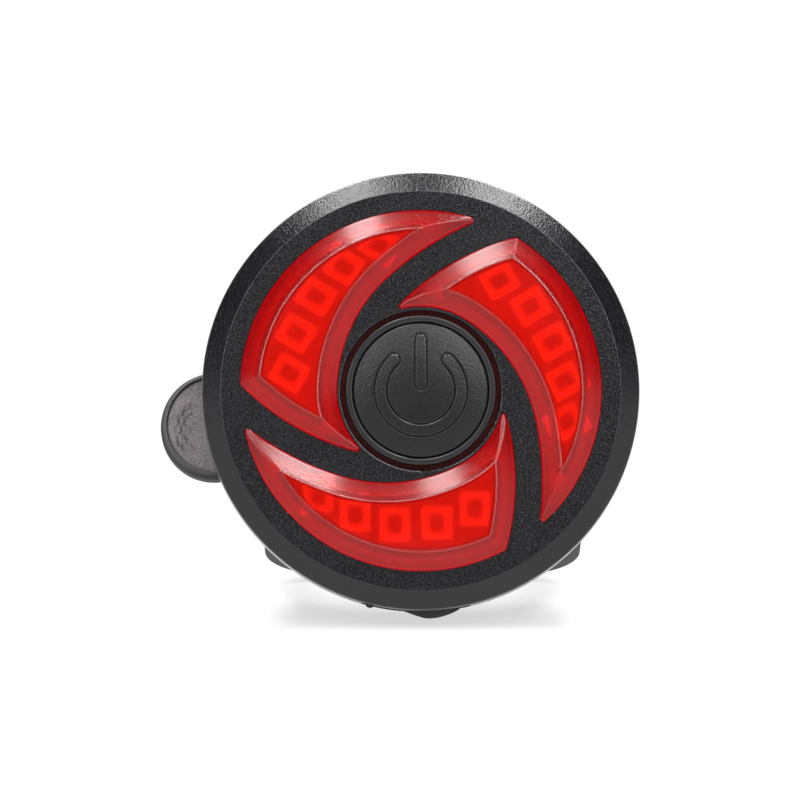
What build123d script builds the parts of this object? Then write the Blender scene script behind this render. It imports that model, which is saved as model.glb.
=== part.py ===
from build123d import *
import math
import os

# Round bicycle tail light: a charcoal front ring with three red swirl lenses and a
# centre button, a rear casing with a battery drum, and a saddle with a silicone strap
# that holds the light on a seatpost.
#
# Frame: +Z runs up the seatpost, the light faces -Y, +X is to the right seen from the
# front. The origin is on the seatpost's axis at the height of the light's centre.
# "Depth" is the distance behind the plane of the front face. Millimetres.

os.makedirs("parts", exist_ok=True)

# ---------------------------------------------------------------- driving dimensions
FACE_Y = -38.5          # the front face's plane
R_OUT = 32.79           # outer edge of the front chamfer
CHAMFER_D = 1.7         # depth of that edge: the chamfer leans back by 30 degrees
R_FACE = 29.9           # inner edge of the front chamfer
R_BACK = 33.1           # the side wall flares to this
FACE_T = 1.6            # front face thickness
WALL_IN = 30.9          # inside radius of the side wall
SPLIT = 9.4             # depth of the parting plane
FLANGE_BACK = 11.4      # depth of the flange's back
R_HOLE = 12.0           # centre hole in the face

PX = 0.1494             # drawing unit of the blade outline
BLADE_TURNS = (-69.06, 50.94, 170.94)
BLADE_GAP = 0.10        # window clearance round each blade
RIM_H = 0.28            # blade rim above the face
BLADE_H = 1.9           # blade plateau above the face
BLADE_BEVEL = 2.9       # width of the blade's bevel
LENS_T0, LENS_T1 = FACE_T, 3.2   # lens plate depths
R_LENS = 28.3

R_COLLAR_IN, R_COLLAR_OUT = 10.25, 11.2
R_BUTTON = 10.05
BUTTON_TRAVEL = 0.5
HUB_D = 2.2             # depth of the hub recess in the lens plate

FRAME_D0, FRAME_D1 = 3.3, 5.95   # LED tray
FRAME_WEB = 4.7                  # the tray is only this deep in front of the socket
BOARD_D0, BOARD_D1 = 6.0, 7.2    # circuit board
# LED places in a blade's own frame: radius in drawing units and angle
LED_POLAR = ((133.0, 122.9), (137.0, 105.6), (140.6, 88.2), (144.6, 71.6), (150.0, 55.5))
CELL_TURN = -170.94     # the cells of a blade are parallel to each other, at this angle in it
CELL_SHIFT = (0.1, 0.65)  # the tray and its LEDs sit this much off the blades' centre
CELL_W, CELL_L = 4.75, 5.25
LED_W, LED_L = 2.8, 3.5

SCREW_R, SCREW_ANGLES = 28.9, (45, 135, 225, 315)
POST_R = 19.3
POST_ANGLES = (87.3, 207.3, 327.3)

PORT_D = 6.6            # depth of the socket's centre
PORT_W, PORT_H = 8.94, 3.2
RECESS_D0, RECESS_D1 = 3.7, 9.1
PIVOT_X, PIVOT_Z = -7.6, -31.75

ZR = -6.5               # height of the drum, saddle and strap hooks
R_DRUM = 19.5
DRUM_BACK = 18.5        # depth of the drum's back
R_POST = 15.8           # seatpost radius
PAD_T = 1.8
PLATE_T = 2.4
HOOK_D = DRUM_BACK + PLATE_T / 2  # depth of the hook axis
SADDLE_H = 33.0
PAD_H = 30.0
PAD_ARC = 61.0          # half angle of the pad

STRAP_T = 2.6
STRAP_W = 16.0
DROOP = 18.0            # the loop droops by this angle at rest
TAB_R = 8.25
TAB_X = -31.6
LOOP_CORNER = 10.0      # radius of the loop's two rear corners
LOOP_Y = 41.3           # mid plane of the loop's back, behind the hook axis
LOOP_LEFT, LOOP_RIGHT = -23.5, 24.5
HOOK_X = 21.5           # mid plane of the strap at the hooks

AXIS_Y = FACE_Y + HOOK_D


def front(depth):
    """Plane parallel to the face at this depth, seen from the front."""
    return Plane(origin=(0, FACE_Y + depth, 0), x_dir=(1, 0, 0), z_dir=(0, -1, 0))


def polar(r, a):
    return (r * math.cos(math.radians(a)), r * math.sin(math.radians(a)))


def circle_meet(c0, r0, c1, r1, pick):
    """Where two circles meet; pick chooses the point by the sign of the side."""
    dx, dy = c1[0] - c0[0], c1[1] - c0[1]
    d = math.hypot(dx, dy)
    a = (r0 * r0 - r1 * r1 + d * d) / (2 * d)
    h = math.sqrt(max(r0 * r0 - a * a, 0.0))
    x, y = c0[0] + a * dx / d, c0[1] + a * dy / d
    return (x - pick * h * dy / d, y + pick * h * dx / d)


# The blade's outline in its own frame: an outer arc, an end arc, and an inner edge of
# three tangent arcs. The tail, the far corner and the inner tip are small radii.
END_C, END_R = (137.8 * PX, 115.0 * PX), 248.5 * PX
HUB_R, RIM_R = 84.2 * PX, 180.6 * PX
HUB_END = 126.75                         # angle where the arc round the hub ends
SWEEP1_R, SWEEP1_END = 158.4 * PX, 79.94
SWEEP2_R = 319.0 * PX
SWEEP1_C = ((84.2 - 158.4) * PX * math.cos(math.radians(HUB_END)),
            (84.2 - 158.4) * PX * math.sin(math.radians(HUB_END)))
SWEEP2_C = (SWEEP1_C[0] + (158.4 - 319.0) * PX * math.cos(math.radians(SWEEP1_END)),
            SWEEP1_C[1] + (158.4 - 319.0) * PX * math.sin(math.radians(SWEEP1_END)))


def blade_points(grow):
    """The outline moved outwards by grow: start, middle and end of each arc."""
    ro, re = RIM_R + grow, END_R + grow
    rh, r1, r2 = HUB_R - grow, SWEEP1_R - grow, SWEEP2_R - grow
    # the outline's inner edge curves round points on its far side, so it moves inwards
    far = max((circle_meet((0, 0), ro, END_C, re, k) for k in (1, -1)), key=lambda p: p[1])
    tip = min((circle_meet((0, 0), rh, END_C, re, k) for k in (1, -1)), key=lambda p: p[0])
    tail = max((circle_meet((0, 0), ro, SWEEP2_C, r2, k) for k in (1, -1)), key=lambda p: p[0])
    join = polar(rh, HUB_END)
    k2 = polar(r1, SWEEP1_END)
    knee = (SWEEP1_C[0] + k2[0], SWEEP1_C[1] + k2[1])

    def mid(c, r, p, q):
        a = math.atan2(p[1] - c[1], p[0] - c[0])
        b = math.atan2(q[1] - c[1], q[0] - c[0])
        while b - a > math.pi:
            b -= 2 * math.pi
        while a - b > math.pi:
            b += 2 * math.pi
        m = (a + b) / 2
        return (c[0] + r * math.cos(m), c[1] + r * math.sin(m))

    return (
        (tail, mid((0, 0), ro, tail, far), far),
        (far, mid(END_C, re, far, tip), tip),
        (tip, mid((0, 0), rh, tip, join), join),
        (join, mid(SWEEP1_C, r1, join, knee), knee),
        (knee, mid(SWEEP2_C, r2, knee, tail), tail),
    )


def turned(p, a):
    c, s = math.cos(math.radians(a)), math.sin(math.radians(a))
    return (p[0] * c - p[1] * s, p[0] * s + p[1] * c)


def blade_outline(turn, grow, rounded=True):
    """The outline's face, turned into its place round the centre."""
    arcs = blade_points(grow)
    corners = {0.59: turned(arcs[0][0], turn), 0.6: turned(arcs[1][0], turn),
               0.45: turned(arcs[2][0], turn)}
    with BuildSketch() as outline:
        with BuildLine():
            for start, middle, end in arcs:
                ThreePointArc(turned(start, turn), turned(middle, turn), turned(end, turn))
        make_face()
        if rounded:
            for radius, place in corners.items():
                corner = outline.vertices().sort_by_distance((place[0], place[1], 0))[0]
                fillet(corner, radius=radius)
    return outline.sketch


# ---------------------------------------------------------------- front_bezel
with BuildPart() as front_bezel:
    with BuildSketch(Plane.XY):
        with BuildLine():
            Polyline(
                (R_HOLE, FACE_Y), (R_FACE, FACE_Y), (R_OUT, FACE_Y + CHAMFER_D),
                (R_BACK, FACE_Y + SPLIT - 0.3), (R_BACK - 0.3, FACE_Y + SPLIT),
                (WALL_IN, FACE_Y + SPLIT), (WALL_IN, FACE_Y + 3.7),
                (R_FACE - 0.9, FACE_Y + FACE_T), (R_HOLE, FACE_Y + FACE_T), (R_HOLE, FACE_Y),
            )
        make_face()
    revolve(axis=Axis.Y)
    # soften the chamfer's outer edge, its inner edge and the centre hole's edge
    outer_ring = front_bezel.edges().filter_by(GeomType.CIRCLE).filter_by(
        lambda e: abs(e.center().Y - (FACE_Y + CHAMFER_D)) < 0.01)
    fillet(outer_ring, radius=0.35)
    face_ring = front_bezel.edges().filter_by(GeomType.CIRCLE).filter_by(
        lambda e: abs(e.center().Y - FACE_Y) < 0.01 and abs(e.radius - R_FACE) < 0.01)
    fillet(face_ring, radius=0.3)
    hole_ring = front_bezel.edges().filter_by(GeomType.CIRCLE).filter_by(
        lambda e: abs(e.center().Y - FACE_Y) < 0.01 and abs(e.radius - R_HOLE) < 0.01)
    fillet(hole_ring, radius=0.25)
    # bosses for the casing screws, and posts for the board
    with BuildSketch(front(FACE_T - 0.2)):
        for a in SCREW_ANGLES:
            with Locations(polar(SCREW_R, a)):
                Circle(2.1)
    extrude(amount=-(SPLIT - FACE_T + 0.2))
    with BuildSketch(front(FACE_T - 0.2)):
        for a in POST_ANGLES:
            with Locations(polar(POST_R, a)):
                Circle(1.45)
    extrude(amount=-(BOARD_D0 - FACE_T + 0.2))
    with BuildSketch(front(3.4)):
        for a in SCREW_ANGLES:
            with Locations(polar(SCREW_R, a)):
                Circle(0.75)
    extrude(amount=-(SPLIT - 3.4), mode=Mode.SUBTRACT)
    with BuildSketch(front(2.6)):
        for a in POST_ANGLES:
            with Locations(polar(POST_R, a)):
                Circle(0.65)
    extrude(amount=-(BOARD_D0 - 2.6), mode=Mode.SUBTRACT)
    # the three blade windows
    with BuildSketch(front(-1)):
        for turn in BLADE_TURNS:
            add(blade_outline(turn, BLADE_GAP))
    extrude(amount=-(FACE_T + 1.0), mode=Mode.SUBTRACT)
    # socket hole through the side wall, and the shallow seat of its cover
    with BuildSketch(Plane.XY.offset(-29.5)):
        with Locations((0, FACE_Y + PORT_D)):
            SlotOverall(PORT_W + 0.3, PORT_H + 0.3)
    extrude(amount=-6, mode=Mode.SUBTRACT)
    with BuildSketch(front(RECESS_D0)):
        with BuildLine():
            s0, s1 = polar(31.75, -90 - 15.6), polar(31.75, -90 + 13.0)
            e0, e1 = polar(34.5, -90 - 15.6), polar(34.5, -90 + 13.0)
            ThreePointArc(s0, polar(31.75, -91), s1)
            Line(s1, e1)
            ThreePointArc(e1, polar(34.5, -91), e0)
            Line(e0, s0)
        make_face()
    extrude(amount=-(RECESS_D1 - RECESS_D0), mode=Mode.SUBTRACT)
    # round pocket for the cover's rubber pin
    with BuildSketch(front(RECESS_D0)):
        with Locations((PIVOT_X, PIVOT_Z + 0.05)):
            Circle(0.95)
    extrude(amount=-(RECESS_D1 - RECESS_D0), mode=Mode.SUBTRACT)
front_bezel.part.label = "front_bezel"
export_step(front_bezel.part, "parts/front_bezel.step")

# ---------------------------------------------------------------- lens
# one blade: a faceted gem, sharp in its ridges and rounded in plan, hollow from behind
blades = []
for turn in BLADE_TURNS:
    with BuildPart() as blade:
        with BuildSketch(front(LENS_T1)):
            add(blade_outline(turn, 0, rounded=False))
        extrude(amount=LENS_T1 + RIM_H)
        with BuildSketch(front(-RIM_H)):
            add(blade_outline(turn, 0, rounded=False))
        with BuildSketch(front(-BLADE_H)):
            add(blade_outline(turn, -BLADE_BEVEL, rounded=False))
        loft(ruled=True)
        with BuildSketch(front(LENS_T1)):
            add(blade_outline(turn, 0))
        extrude(amount=LENS_T1 + BLADE_H + 1, mode=Mode.INTERSECT)
        with BuildSketch(front(LENS_T1)):
            add(blade_outline(turn, -1.5, rounded=False))
        with BuildSketch(front(-BLADE_H + 1.5)):
            add(blade_outline(turn, -3.3, rounded=False))
        loft(ruled=True, mode=Mode.SUBTRACT)
    blades.append(blade.part)

with BuildPart() as lens:
    with BuildSketch(front(LENS_T0)):
        Circle(R_LENS)
        for turn in BLADE_TURNS:
            add(blade_outline(turn, -0.2), mode=Mode.SUBTRACT)
    extrude(amount=-(LENS_T1 - LENS_T0))
    for blade in blades:
        add(blade)
    # hub recess for the collar, and the hole for the button's stem
    with BuildSketch(front(0)):
        Circle(R_COLLAR_OUT + 0.04)
    extrude(amount=-HUB_D, mode=Mode.SUBTRACT)
    with BuildSketch(front(0)):
        Circle(4.2)
    extrude(amount=-6, mode=Mode.SUBTRACT)
    # notches and holes that clear the bezel's bosses and posts
    with BuildSketch(front(1.2)):
        for a in SCREW_ANGLES:
            with Locations(polar(SCREW_R, a)):
                Circle(2.25)
        for a in POST_ANGLES:
            with Locations(polar(POST_R, a)):
                Circle(1.6)
    extrude(amount=-6, mode=Mode.SUBTRACT)
lens.part.label = "lens"
export_step(lens.part, "parts/lens.step")

# ---------------------------------------------------------------- button_collar
with BuildPart() as button_collar:
    with BuildSketch(Plane.XY):
        with BuildLine():
            Polyline(
                (R_COLLAR_IN, FACE_Y - 0.2), (R_COLLAR_OUT, FACE_Y - 0.2),
                (R_COLLAR_OUT, FACE_Y + HUB_D), (R_COLLAR_OUT - 0.4, FACE_Y + HUB_D),
                (R_COLLAR_OUT - 0.4, FACE_Y + 0.95), (R_COLLAR_IN, FACE_Y + 0.95),
                (R_COLLAR_IN, FACE_Y - 0.2),
            )
        make_face()
    revolve(axis=Axis.Y)
    fillet(button_collar.edges().group_by(Axis.Y)[0], radius=0.25)
button_collar.part.label = "button_collar"
export_step(button_collar.part, "parts/button_collar.step")

# ---------------------------------------------------------------- button_cap
STEM_END = 3.8
DOME_CENTRE, DOME_EDGE = FACE_Y - 1.0, FACE_Y - 0.15
# raised power pictogram that follows the dome: a bar and an open ring
with BuildPart() as pictogram:
    with BuildSketch(front(0.4)):
        with BuildLine():
            for r0, r1 in ((5.1, 7.0),):
                a0, a1 = 90 + 41.5, 90 - 41.5
                CenterArc((0, 0), r1, a0, 360 - 83.0)
                CenterArc((0, 0), r0, a0, 360 - 83.0)
                CenterArc(polar(6.05, a0), 0.95, a0 + 180, 180 * -1)
                CenterArc(polar(6.05, a1), 0.95, a1, -180 * -1)
        make_face()
        with Locations((0.0, 4.25)):
            SlotOverall(8.5, 1.9, rotation=90)
    extrude(amount=2.0)
    with BuildSketch(Plane.XY):
        with BuildLine():
            ThreePointArc((0, DOME_CENTRE - 0.14), (5.0, DOME_CENTRE - 0.14 + 0.238),
                          (9.45, DOME_EDGE - 0.14))
            Polyline((9.45, DOME_EDGE - 0.14), (9.45, FACE_Y + 0.4), (0, FACE_Y + 0.4),
                     (0, DOME_CENTRE - 0.14))
        make_face()
    revolve(axis=Axis.Y, mode=Mode.INTERSECT)

with BuildPart() as button_cap:
    with BuildSketch(Plane.XY):
        with BuildLine():
            # gently domed face with a rounded rim
            ThreePointArc((0, DOME_CENTRE), (5.0, DOME_CENTRE + 0.238), (9.45, DOME_EDGE))
            ThreePointArc((9.45, DOME_EDGE), (9.88, DOME_EDGE + 0.16), (R_BUTTON, DOME_EDGE + 0.6))
            Polyline(
                (R_BUTTON, DOME_EDGE + 0.6),
                (R_BUTTON, FACE_Y + 1.0), (10.6, FACE_Y + 1.0), (10.6, FACE_Y + 1.6),
                (3.0, FACE_Y + 1.6), (3.0, FACE_Y + STEM_END), (0, FACE_Y + STEM_END),
                (0, DOME_CENTRE),
            )
        make_face()
    revolve(axis=Axis.Y)
    add(pictogram.part)
button_cap.part.label = "button_cap"
export_step(button_cap.part, "parts/button_cap.step")

# ---------------------------------------------------------------- button_seal
with BuildPart() as button_seal:
    with BuildSketch(front(HUB_D)):
        Circle(4.2)
        Circle(3.08, mode=Mode.SUBTRACT)
    extrude(amount=-(LENS_T1 - HUB_D))
    fillet(button_seal.edges().filter_by(GeomType.CIRCLE).filter_by(
        lambda e: abs(e.radius - 3.08) < 0.01), radius=0.2)
button_seal.part.label = "button_seal"
export_step(button_seal.part, "parts/button_seal.step")

# ---------------------------------------------------------------- switch_body, switch_stem
with BuildPart() as switch_body:
    with BuildSketch(front(4.4)):
        RectangleRounded(6.0, 6.0, 0.4)
    extrude(amount=-(BOARD_D0 - 4.4))
    with BuildSketch(front(4.4)):
        Circle(1.78)
    extrude(amount=-1.4, mode=Mode.SUBTRACT)
switch_body.part.label = "switch_body"
export_step(switch_body.part, "parts/switch_body.step")

with BuildPart() as switch_stem:
    with BuildSketch(front(3.86)):
        Circle(1.7)
    extrude(amount=-1.36)
    fillet(switch_stem.edges().group_by(Axis.Y)[0], radius=0.2)
switch_stem.part.label = "switch_stem"
export_step(switch_stem.part, "parts/switch_stem.step")

# ---------------------------------------------------------------- led_frame
LED_PLACES = []
for turn in BLADE_TURNS:
    for r, a in LED_POLAR:
        x, y = polar(r * PX, a + turn)
        LED_PLACES.append((x + CELL_SHIFT[0], y + CELL_SHIFT[1], turn + CELL_TURN))

with BuildPart() as led_frame:
    with BuildSketch(front(FRAME_D0)):
        Circle(27.6)
        Circle(4.9, mode=Mode.SUBTRACT)
        for a in SCREW_ANGLES:
            with Locations(polar(SCREW_R, a)):
                Circle(2.3, mode=Mode.SUBTRACT)
        for a in POST_ANGLES:
            with Locations(polar(POST_R, a)):
                Circle(1.7, mode=Mode.SUBTRACT)
    extrude(amount=-(FRAME_D1 - FRAME_D0))
    # room for the socket's shell behind the tray's front web
    with BuildSketch(front(FRAME_WEB)):
        with Locations((0, -27.6)):
            Rectangle(9.6, 8.2)
    extrude(amount=-(FRAME_D1 - FRAME_WEB), mode=Mode.SUBTRACT)
    for x, y, turn in LED_PLACES:
        with BuildSketch(front(FRAME_D0)):
            with Locations(Location((x, y, 0), (0, 0, turn))):
                RectangleRounded(CELL_W, CELL_L, 0.5)
        with BuildSketch(front(FRAME_D1)):
            with Locations(Location((x, y, 0), (0, 0, turn))):
                RectangleRounded(CELL_W - 0.7, CELL_L - 0.7, 0.4)
        loft(ruled=True, mode=Mode.SUBTRACT)
led_frame.part.label = "led_frame"
export_step(led_frame.part, "parts/led_frame.step")

# ---------------------------------------------------------------- leds
with BuildPart() as leds:
    for x, y, turn in LED_PLACES:
        with BuildSketch(front(BOARD_D0)):
            with Locations(Location((x, y, 0), (0, 0, turn))):
                Rectangle(LED_W, LED_L)
        extrude(amount=0.75)
        with BuildSketch(front(BOARD_D0 - 0.75)):
            with Locations(Location((x, y, 0), (0, 0, turn))):
                RectangleRounded(LED_W - 0.7, LED_L - 0.7, 0.35)
        extrude(amount=-0.25, mode=Mode.SUBTRACT)
leds.part.label = "leds"
export_step(leds.part, "parts/leds.step")

# ---------------------------------------------------------------- led_board
with BuildPart() as led_board:
    with BuildSketch(front(BOARD_D0)):
        Circle(28.2)
        for a in SCREW_ANGLES:
            with Locations(polar(SCREW_R, a)):
                Circle(2.3, mode=Mode.SUBTRACT)
        for a in POST_ANGLES:
            with Locations(polar(POST_R, a)):
                Circle(0.8, mode=Mode.SUBTRACT)
        with Locations((0, -27.6)):
            Rectangle(PORT_W + 0.3, 8.0, mode=Mode.SUBTRACT)
    extrude(amount=-(BOARD_D1 - BOARD_D0))
led_board.part.label = "led_board"
export_step(led_board.part, "parts/led_board.step")

# ---------------------------------------------------------------- board_chips
CHIPS = (
    # x, z, width, height, thickness
    (-7.0, 4.4, 5.0, 5.0, 0.9), (6.5, 7.0, 4.4, 3.9, 1.1), (13.0, -2.0, 3.0, 3.0, 1.0),
    (-14.0, -1.0, 4.0, 4.0, 1.6), (0.0, 13.0, 3.2, 1.6, 0.8), (-3.5, -12.5, 2.0, 1.25, 0.7),
    (3.0, -12.5, 2.0, 1.25, 0.7), (-8.0, 12.5, 2.0, 1.25, 0.7), (9.5, 13.0, 2.0, 1.25, 0.7),
    (15.0, 5.0, 2.0, 1.25, 0.7), (-15.0, 6.5, 2.0, 1.25, 0.7), (9.5, -9.5, 3.2, 1.6, 0.9),
)
with BuildPart() as board_chips:
    for x, z, w, h, t in CHIPS:
        with BuildSketch(front(BOARD_D1)):
            with Locations((x, z)):
                Rectangle(w, h)
        extrude(amount=-t)
board_chips.part.label = "board_chips"
export_step(board_chips.part, "parts/board_chips.step")

# ---------------------------------------------------------------- board_screws
with BuildPart() as board_screws:
    with BuildSketch(front(BOARD_D1)):
        for a in POST_ANGLES:
            with Locations(polar(POST_R, a)):
                Circle(1.4)
    extrude(amount=-0.8)
    with BuildSketch(front(BOARD_D1)):
        for a in POST_ANGLES:
            with Locations(polar(POST_R, a)):
                Circle(0.6)
    extrude(amount=4.2)
    with BuildSketch(front(BOARD_D1 + 0.8)):
        for a in POST_ANGLES:
            with Locations(polar(POST_R, a)):
                Rectangle(1.6, 0.4)
                Rectangle(0.4, 1.6)
    extrude(amount=0.4, mode=Mode.SUBTRACT)
board_screws.part.label = "board_screws"
export_step(board_screws.part, "parts/board_screws.step")

# ---------------------------------------------------------------- usb_shell, usb_tongue
PORT_TOP, PORT_MOUTH = -23.9, -31.1
with BuildPart() as usb_shell:
    with BuildSketch(Plane.XY.offset(PORT_MOUTH)):
        with Locations((0, FACE_Y + PORT_D)):
            SlotOverall(PORT_W, PORT_H)
            SlotOverall(PORT_W - 0.6, PORT_H - 0.6, mode=Mode.SUBTRACT)
    extrude(amount=PORT_TOP - PORT_MOUTH)
    with BuildSketch(Plane.XY.offset(PORT_TOP)):
        with Locations((0, FACE_Y + PORT_D)):
            SlotOverall(PORT_W, PORT_H)
    extrude(amount=-0.5)
usb_shell.part.label = "usb_shell"
export_step(usb_shell.part, "parts/usb_shell.step")

with BuildPart() as usb_tongue:
    with BuildSketch(Plane.XY.offset(PORT_TOP - 0.5)):
        with Locations((0, FACE_Y + PORT_D)):
            SlotOverall(PORT_W - 0.7, PORT_H - 0.7)
    extrude(amount=-1.2)
    with BuildSketch(Plane.XY.offset(PORT_TOP - 1.7)):
        with Locations((0, FACE_Y + PORT_D)):
            Rectangle(6.6, 0.7)
    extrude(amount=-3.3)
usb_tongue.part.label = "usb_tongue"
export_step(usb_tongue.part, "parts/usb_tongue.step")

# ---------------------------------------------------------------- port_cover
COVER_R0, COVER_R1 = 31.8, R_OUT + 0.12
with BuildPart() as port_cover:
    with BuildSketch(front(RECESS_D0 + 0.15)):
        with BuildLine():
            p0, p1 = polar(COVER_R0, -90 - 12.2), polar(COVER_R0, -90 + 12.4)
            q0, q1 = polar(COVER_R1, -90 - 12.2), polar(COVER_R1, -90 + 12.4)
            ThreePointArc(p0, polar(COVER_R0, -90), p1)
            Line(p1, q1)
            ThreePointArc(q1, polar(COVER_R1, -90), q0)
            Line(q0, p0)
        make_face()
    extrude(amount=-(RECESS_D1 - RECESS_D0 - 0.3))
    # rubber pin at the left end that the cover turns on
    with BuildSketch(front(RECESS_D0 + 0.15)):
        with Locations((PIVOT_X, PIVOT_Z)):
            Circle(0.75)
        with BuildLine():
            Polyline((PIVOT_X, PIVOT_Z - 0.7), (PIVOT_X + 1.5, PIVOT_Z - 0.75),
                     (PIVOT_X + 1.5, PIVOT_Z + 0.0), (PIVOT_X, PIVOT_Z + 0.3),
                     (PIVOT_X, PIVOT_Z - 0.7))
        make_face()
    extrude(amount=-(RECESS_D1 - RECESS_D0 - 0.3))
    # plug that stops the socket's mouth
    with BuildSketch(Plane.XY.offset(-32.0)):
        with Locations((0.15, FACE_Y + PORT_D)):
            SlotOverall(7.3, 2.3)
    extrude(amount=2.0)
    # finger lip under the housing
    with BuildSketch(Plane.XY.offset(-32.3)):
        with Locations((2.3, FACE_Y + 7.9)):
            RectangleRounded(6.9, 1.7, 0.6)
    with BuildSketch(Plane.XY.offset(-34.1)):
        with Locations((2.3, FACE_Y + 8.0)):
            RectangleRounded(5.6, 1.1, 0.45)
    loft()
port_cover.part.label = "port_cover"
export_step(port_cover.part, "parts/port_cover.step")

# ---------------------------------------------------------------- rear_shell
DRUM_WALL = 1.5
with BuildPart() as rear_shell:
    with BuildSketch(front(SPLIT)):
        Circle(R_BACK - 0.1)
    extrude(amount=-(FLANGE_BACK - SPLIT))
    fillet(rear_shell.edges().filter_by(GeomType.CIRCLE).group_by(Axis.Y)[-1], radius=0.7)
    chamfer(rear_shell.edges().filter_by(GeomType.CIRCLE).group_by(Axis.Y)[0], length=0.2)
    # battery drum
    with BuildSketch(front(FLANGE_BACK - 0.5)):
        with Locations((0, ZR)):
            Circle(R_DRUM)
    extrude(amount=-(DRUM_BACK - FLANGE_BACK + 0.5), taper=3)
    drum_edges = rear_shell.edges().filter_by(GeomType.CIRCLE).group_by(Axis.Y)[-1]
    fillet(drum_edges, radius=1.0)
    # inside of the drum
    with BuildSketch(front(SPLIT)):
        with Locations((0, ZR)):
            Circle(R_DRUM - DRUM_WALL)
    extrude(amount=-(DRUM_BACK - 1.6 - SPLIT), taper=3, mode=Mode.SUBTRACT)
    # screw bosses inside the back wall for the saddle
    with BuildSketch(front(DRUM_BACK - 1.3)):
        for z in (ZR - 13.2, ZR + 13.2):
            with Locations((0, z)):
                Circle(2.2)
    extrude(amount=3.8)
    with BuildSketch(front(DRUM_BACK)):
        for z in (ZR - 13.2, ZR + 13.2):
            with Locations((0, z)):
                Circle(1.0)
    extrude(amount=4.4, mode=Mode.SUBTRACT)
    # gasket groove in the flange's front
    with BuildSketch(front(SPLIT)):
        Circle(32.1)
        Circle(31.1, mode=Mode.SUBTRACT)
    extrude(amount=-0.6, mode=Mode.SUBTRACT)
    # stepped holes for the casing screws
    with BuildSketch(front(SPLIT)):
        for a in SCREW_ANGLES:
            with Locations(polar(SCREW_R, a)):
                Circle(0.95)
    extrude(amount=-3, mode=Mode.SUBTRACT)
    with BuildSketch(front(FLANGE_BACK - 1.1)):
        for a in SCREW_ANGLES:
            with Locations(polar(SCREW_R, a)):
                Circle(1.75)
    extrude(amount=-3, mode=Mode.SUBTRACT)
rear_shell.part.label = "rear_shell"
export_step(rear_shell.part, "parts/rear_shell.step")

# ---------------------------------------------------------------- housing_seal
with BuildPart() as housing_seal:
    with BuildSketch(front(SPLIT)):
        Circle(32.05)
        Circle(31.15, mode=Mode.SUBTRACT)
    extrude(amount=-0.6)
housing_seal.part.label = "housing_seal"
export_step(housing_seal.part, "parts/housing_seal.step")

# ---------------------------------------------------------------- housing_screws
with BuildPart() as housing_screws:
    with BuildSketch(front(FLANGE_BACK - 1.1)):
        for a in SCREW_ANGLES:
            with Locations(polar(SCREW_R, a)):
                Circle(1.6)
    extrude(amount=-0.9)
    fillet(housing_screws.edges().filter_by(GeomType.CIRCLE).group_by(Axis.Y)[-1], radius=0.3)
    with BuildSketch(front(FLANGE_BACK - 1.1)):
        for a in SCREW_ANGLES:
            with Locations(polar(SCREW_R, a)):
                Circle(0.7)
    extrude(amount=6.4)
    with BuildSketch(front(FLANGE_BACK - 0.2)):
        for a in SCREW_ANGLES:
            with Locations(Location((*polar(SCREW_R, a), 0), (0, 0, a))):
                Rectangle(1.9, 0.45)
                Rectangle(0.45, 1.9)
    extrude(amount=0.5, mode=Mode.SUBTRACT)
housing_screws.part.label = "housing_screws"
export_step(housing_screws.part, "parts/housing_screws.step")

# ---------------------------------------------------------------- battery and its pieces
BATT_D0, BATT_D1 = 10.7, 15.9
with BuildPart() as battery:
    with BuildSketch(front(BATT_D0)):
        with Locations((0, ZR)):
            RectangleRounded(28.0, 20.0, 1.6)
    extrude(amount=-(BATT_D1 - BATT_D0))
    fillet(battery.edges().group_by(Axis.Y)[0], radius=1.0)
    fillet(battery.edges().group_by(Axis.Y)[-1], radius=1.0)
battery.part.label = "battery"
export_step(battery.part, "parts/battery.step")

with BuildPart() as battery_board:
    with BuildSketch(front(12.2)):
        with Locations((0, ZR + 10.55)):
            Rectangle(20.0, 0.9)
    extrude(amount=-2.6)
battery_board.part.label = "battery_board"
export_step(battery_board.part, "parts/battery_board.step")

with BuildPart() as battery_foam:
    with BuildSketch(front(BATT_D1)):
        with Locations((0, ZR)):
            Rectangle(22.0, 15.0)
    extrude(amount=-(DRUM_BACK - 1.6 - BATT_D1))
battery_foam.part.label = "battery_foam"
export_step(battery_foam.part, "parts/battery_foam.step")

# two leads from the protection strip forward to the board
with BuildPart() as battery_wires:
    for x, x2 in ((-6.0, -3.6), (-8.2, -8.4)):
        with BuildLine():
            FilletPolyline(
                (x, FACE_Y + 13.0, ZR + 11.45), (x, FACE_Y + 9.6, ZR + 11.45),
                (x2, FACE_Y + 9.4, ZR + 15.0), (x2, FACE_Y + BOARD_D1, ZR + 15.0),
                radius=0.9,
            )
        with BuildSketch(Plane(origin=(x, FACE_Y + 13.0, ZR + 11.45), x_dir=(1, 0, 0),
                               z_dir=(0, -1, 0))):
            Circle(0.42)
        sweep()
battery_wires.part.label = "battery_wires"
export_step(battery_wires.part, "parts/battery_wires.step")

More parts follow.
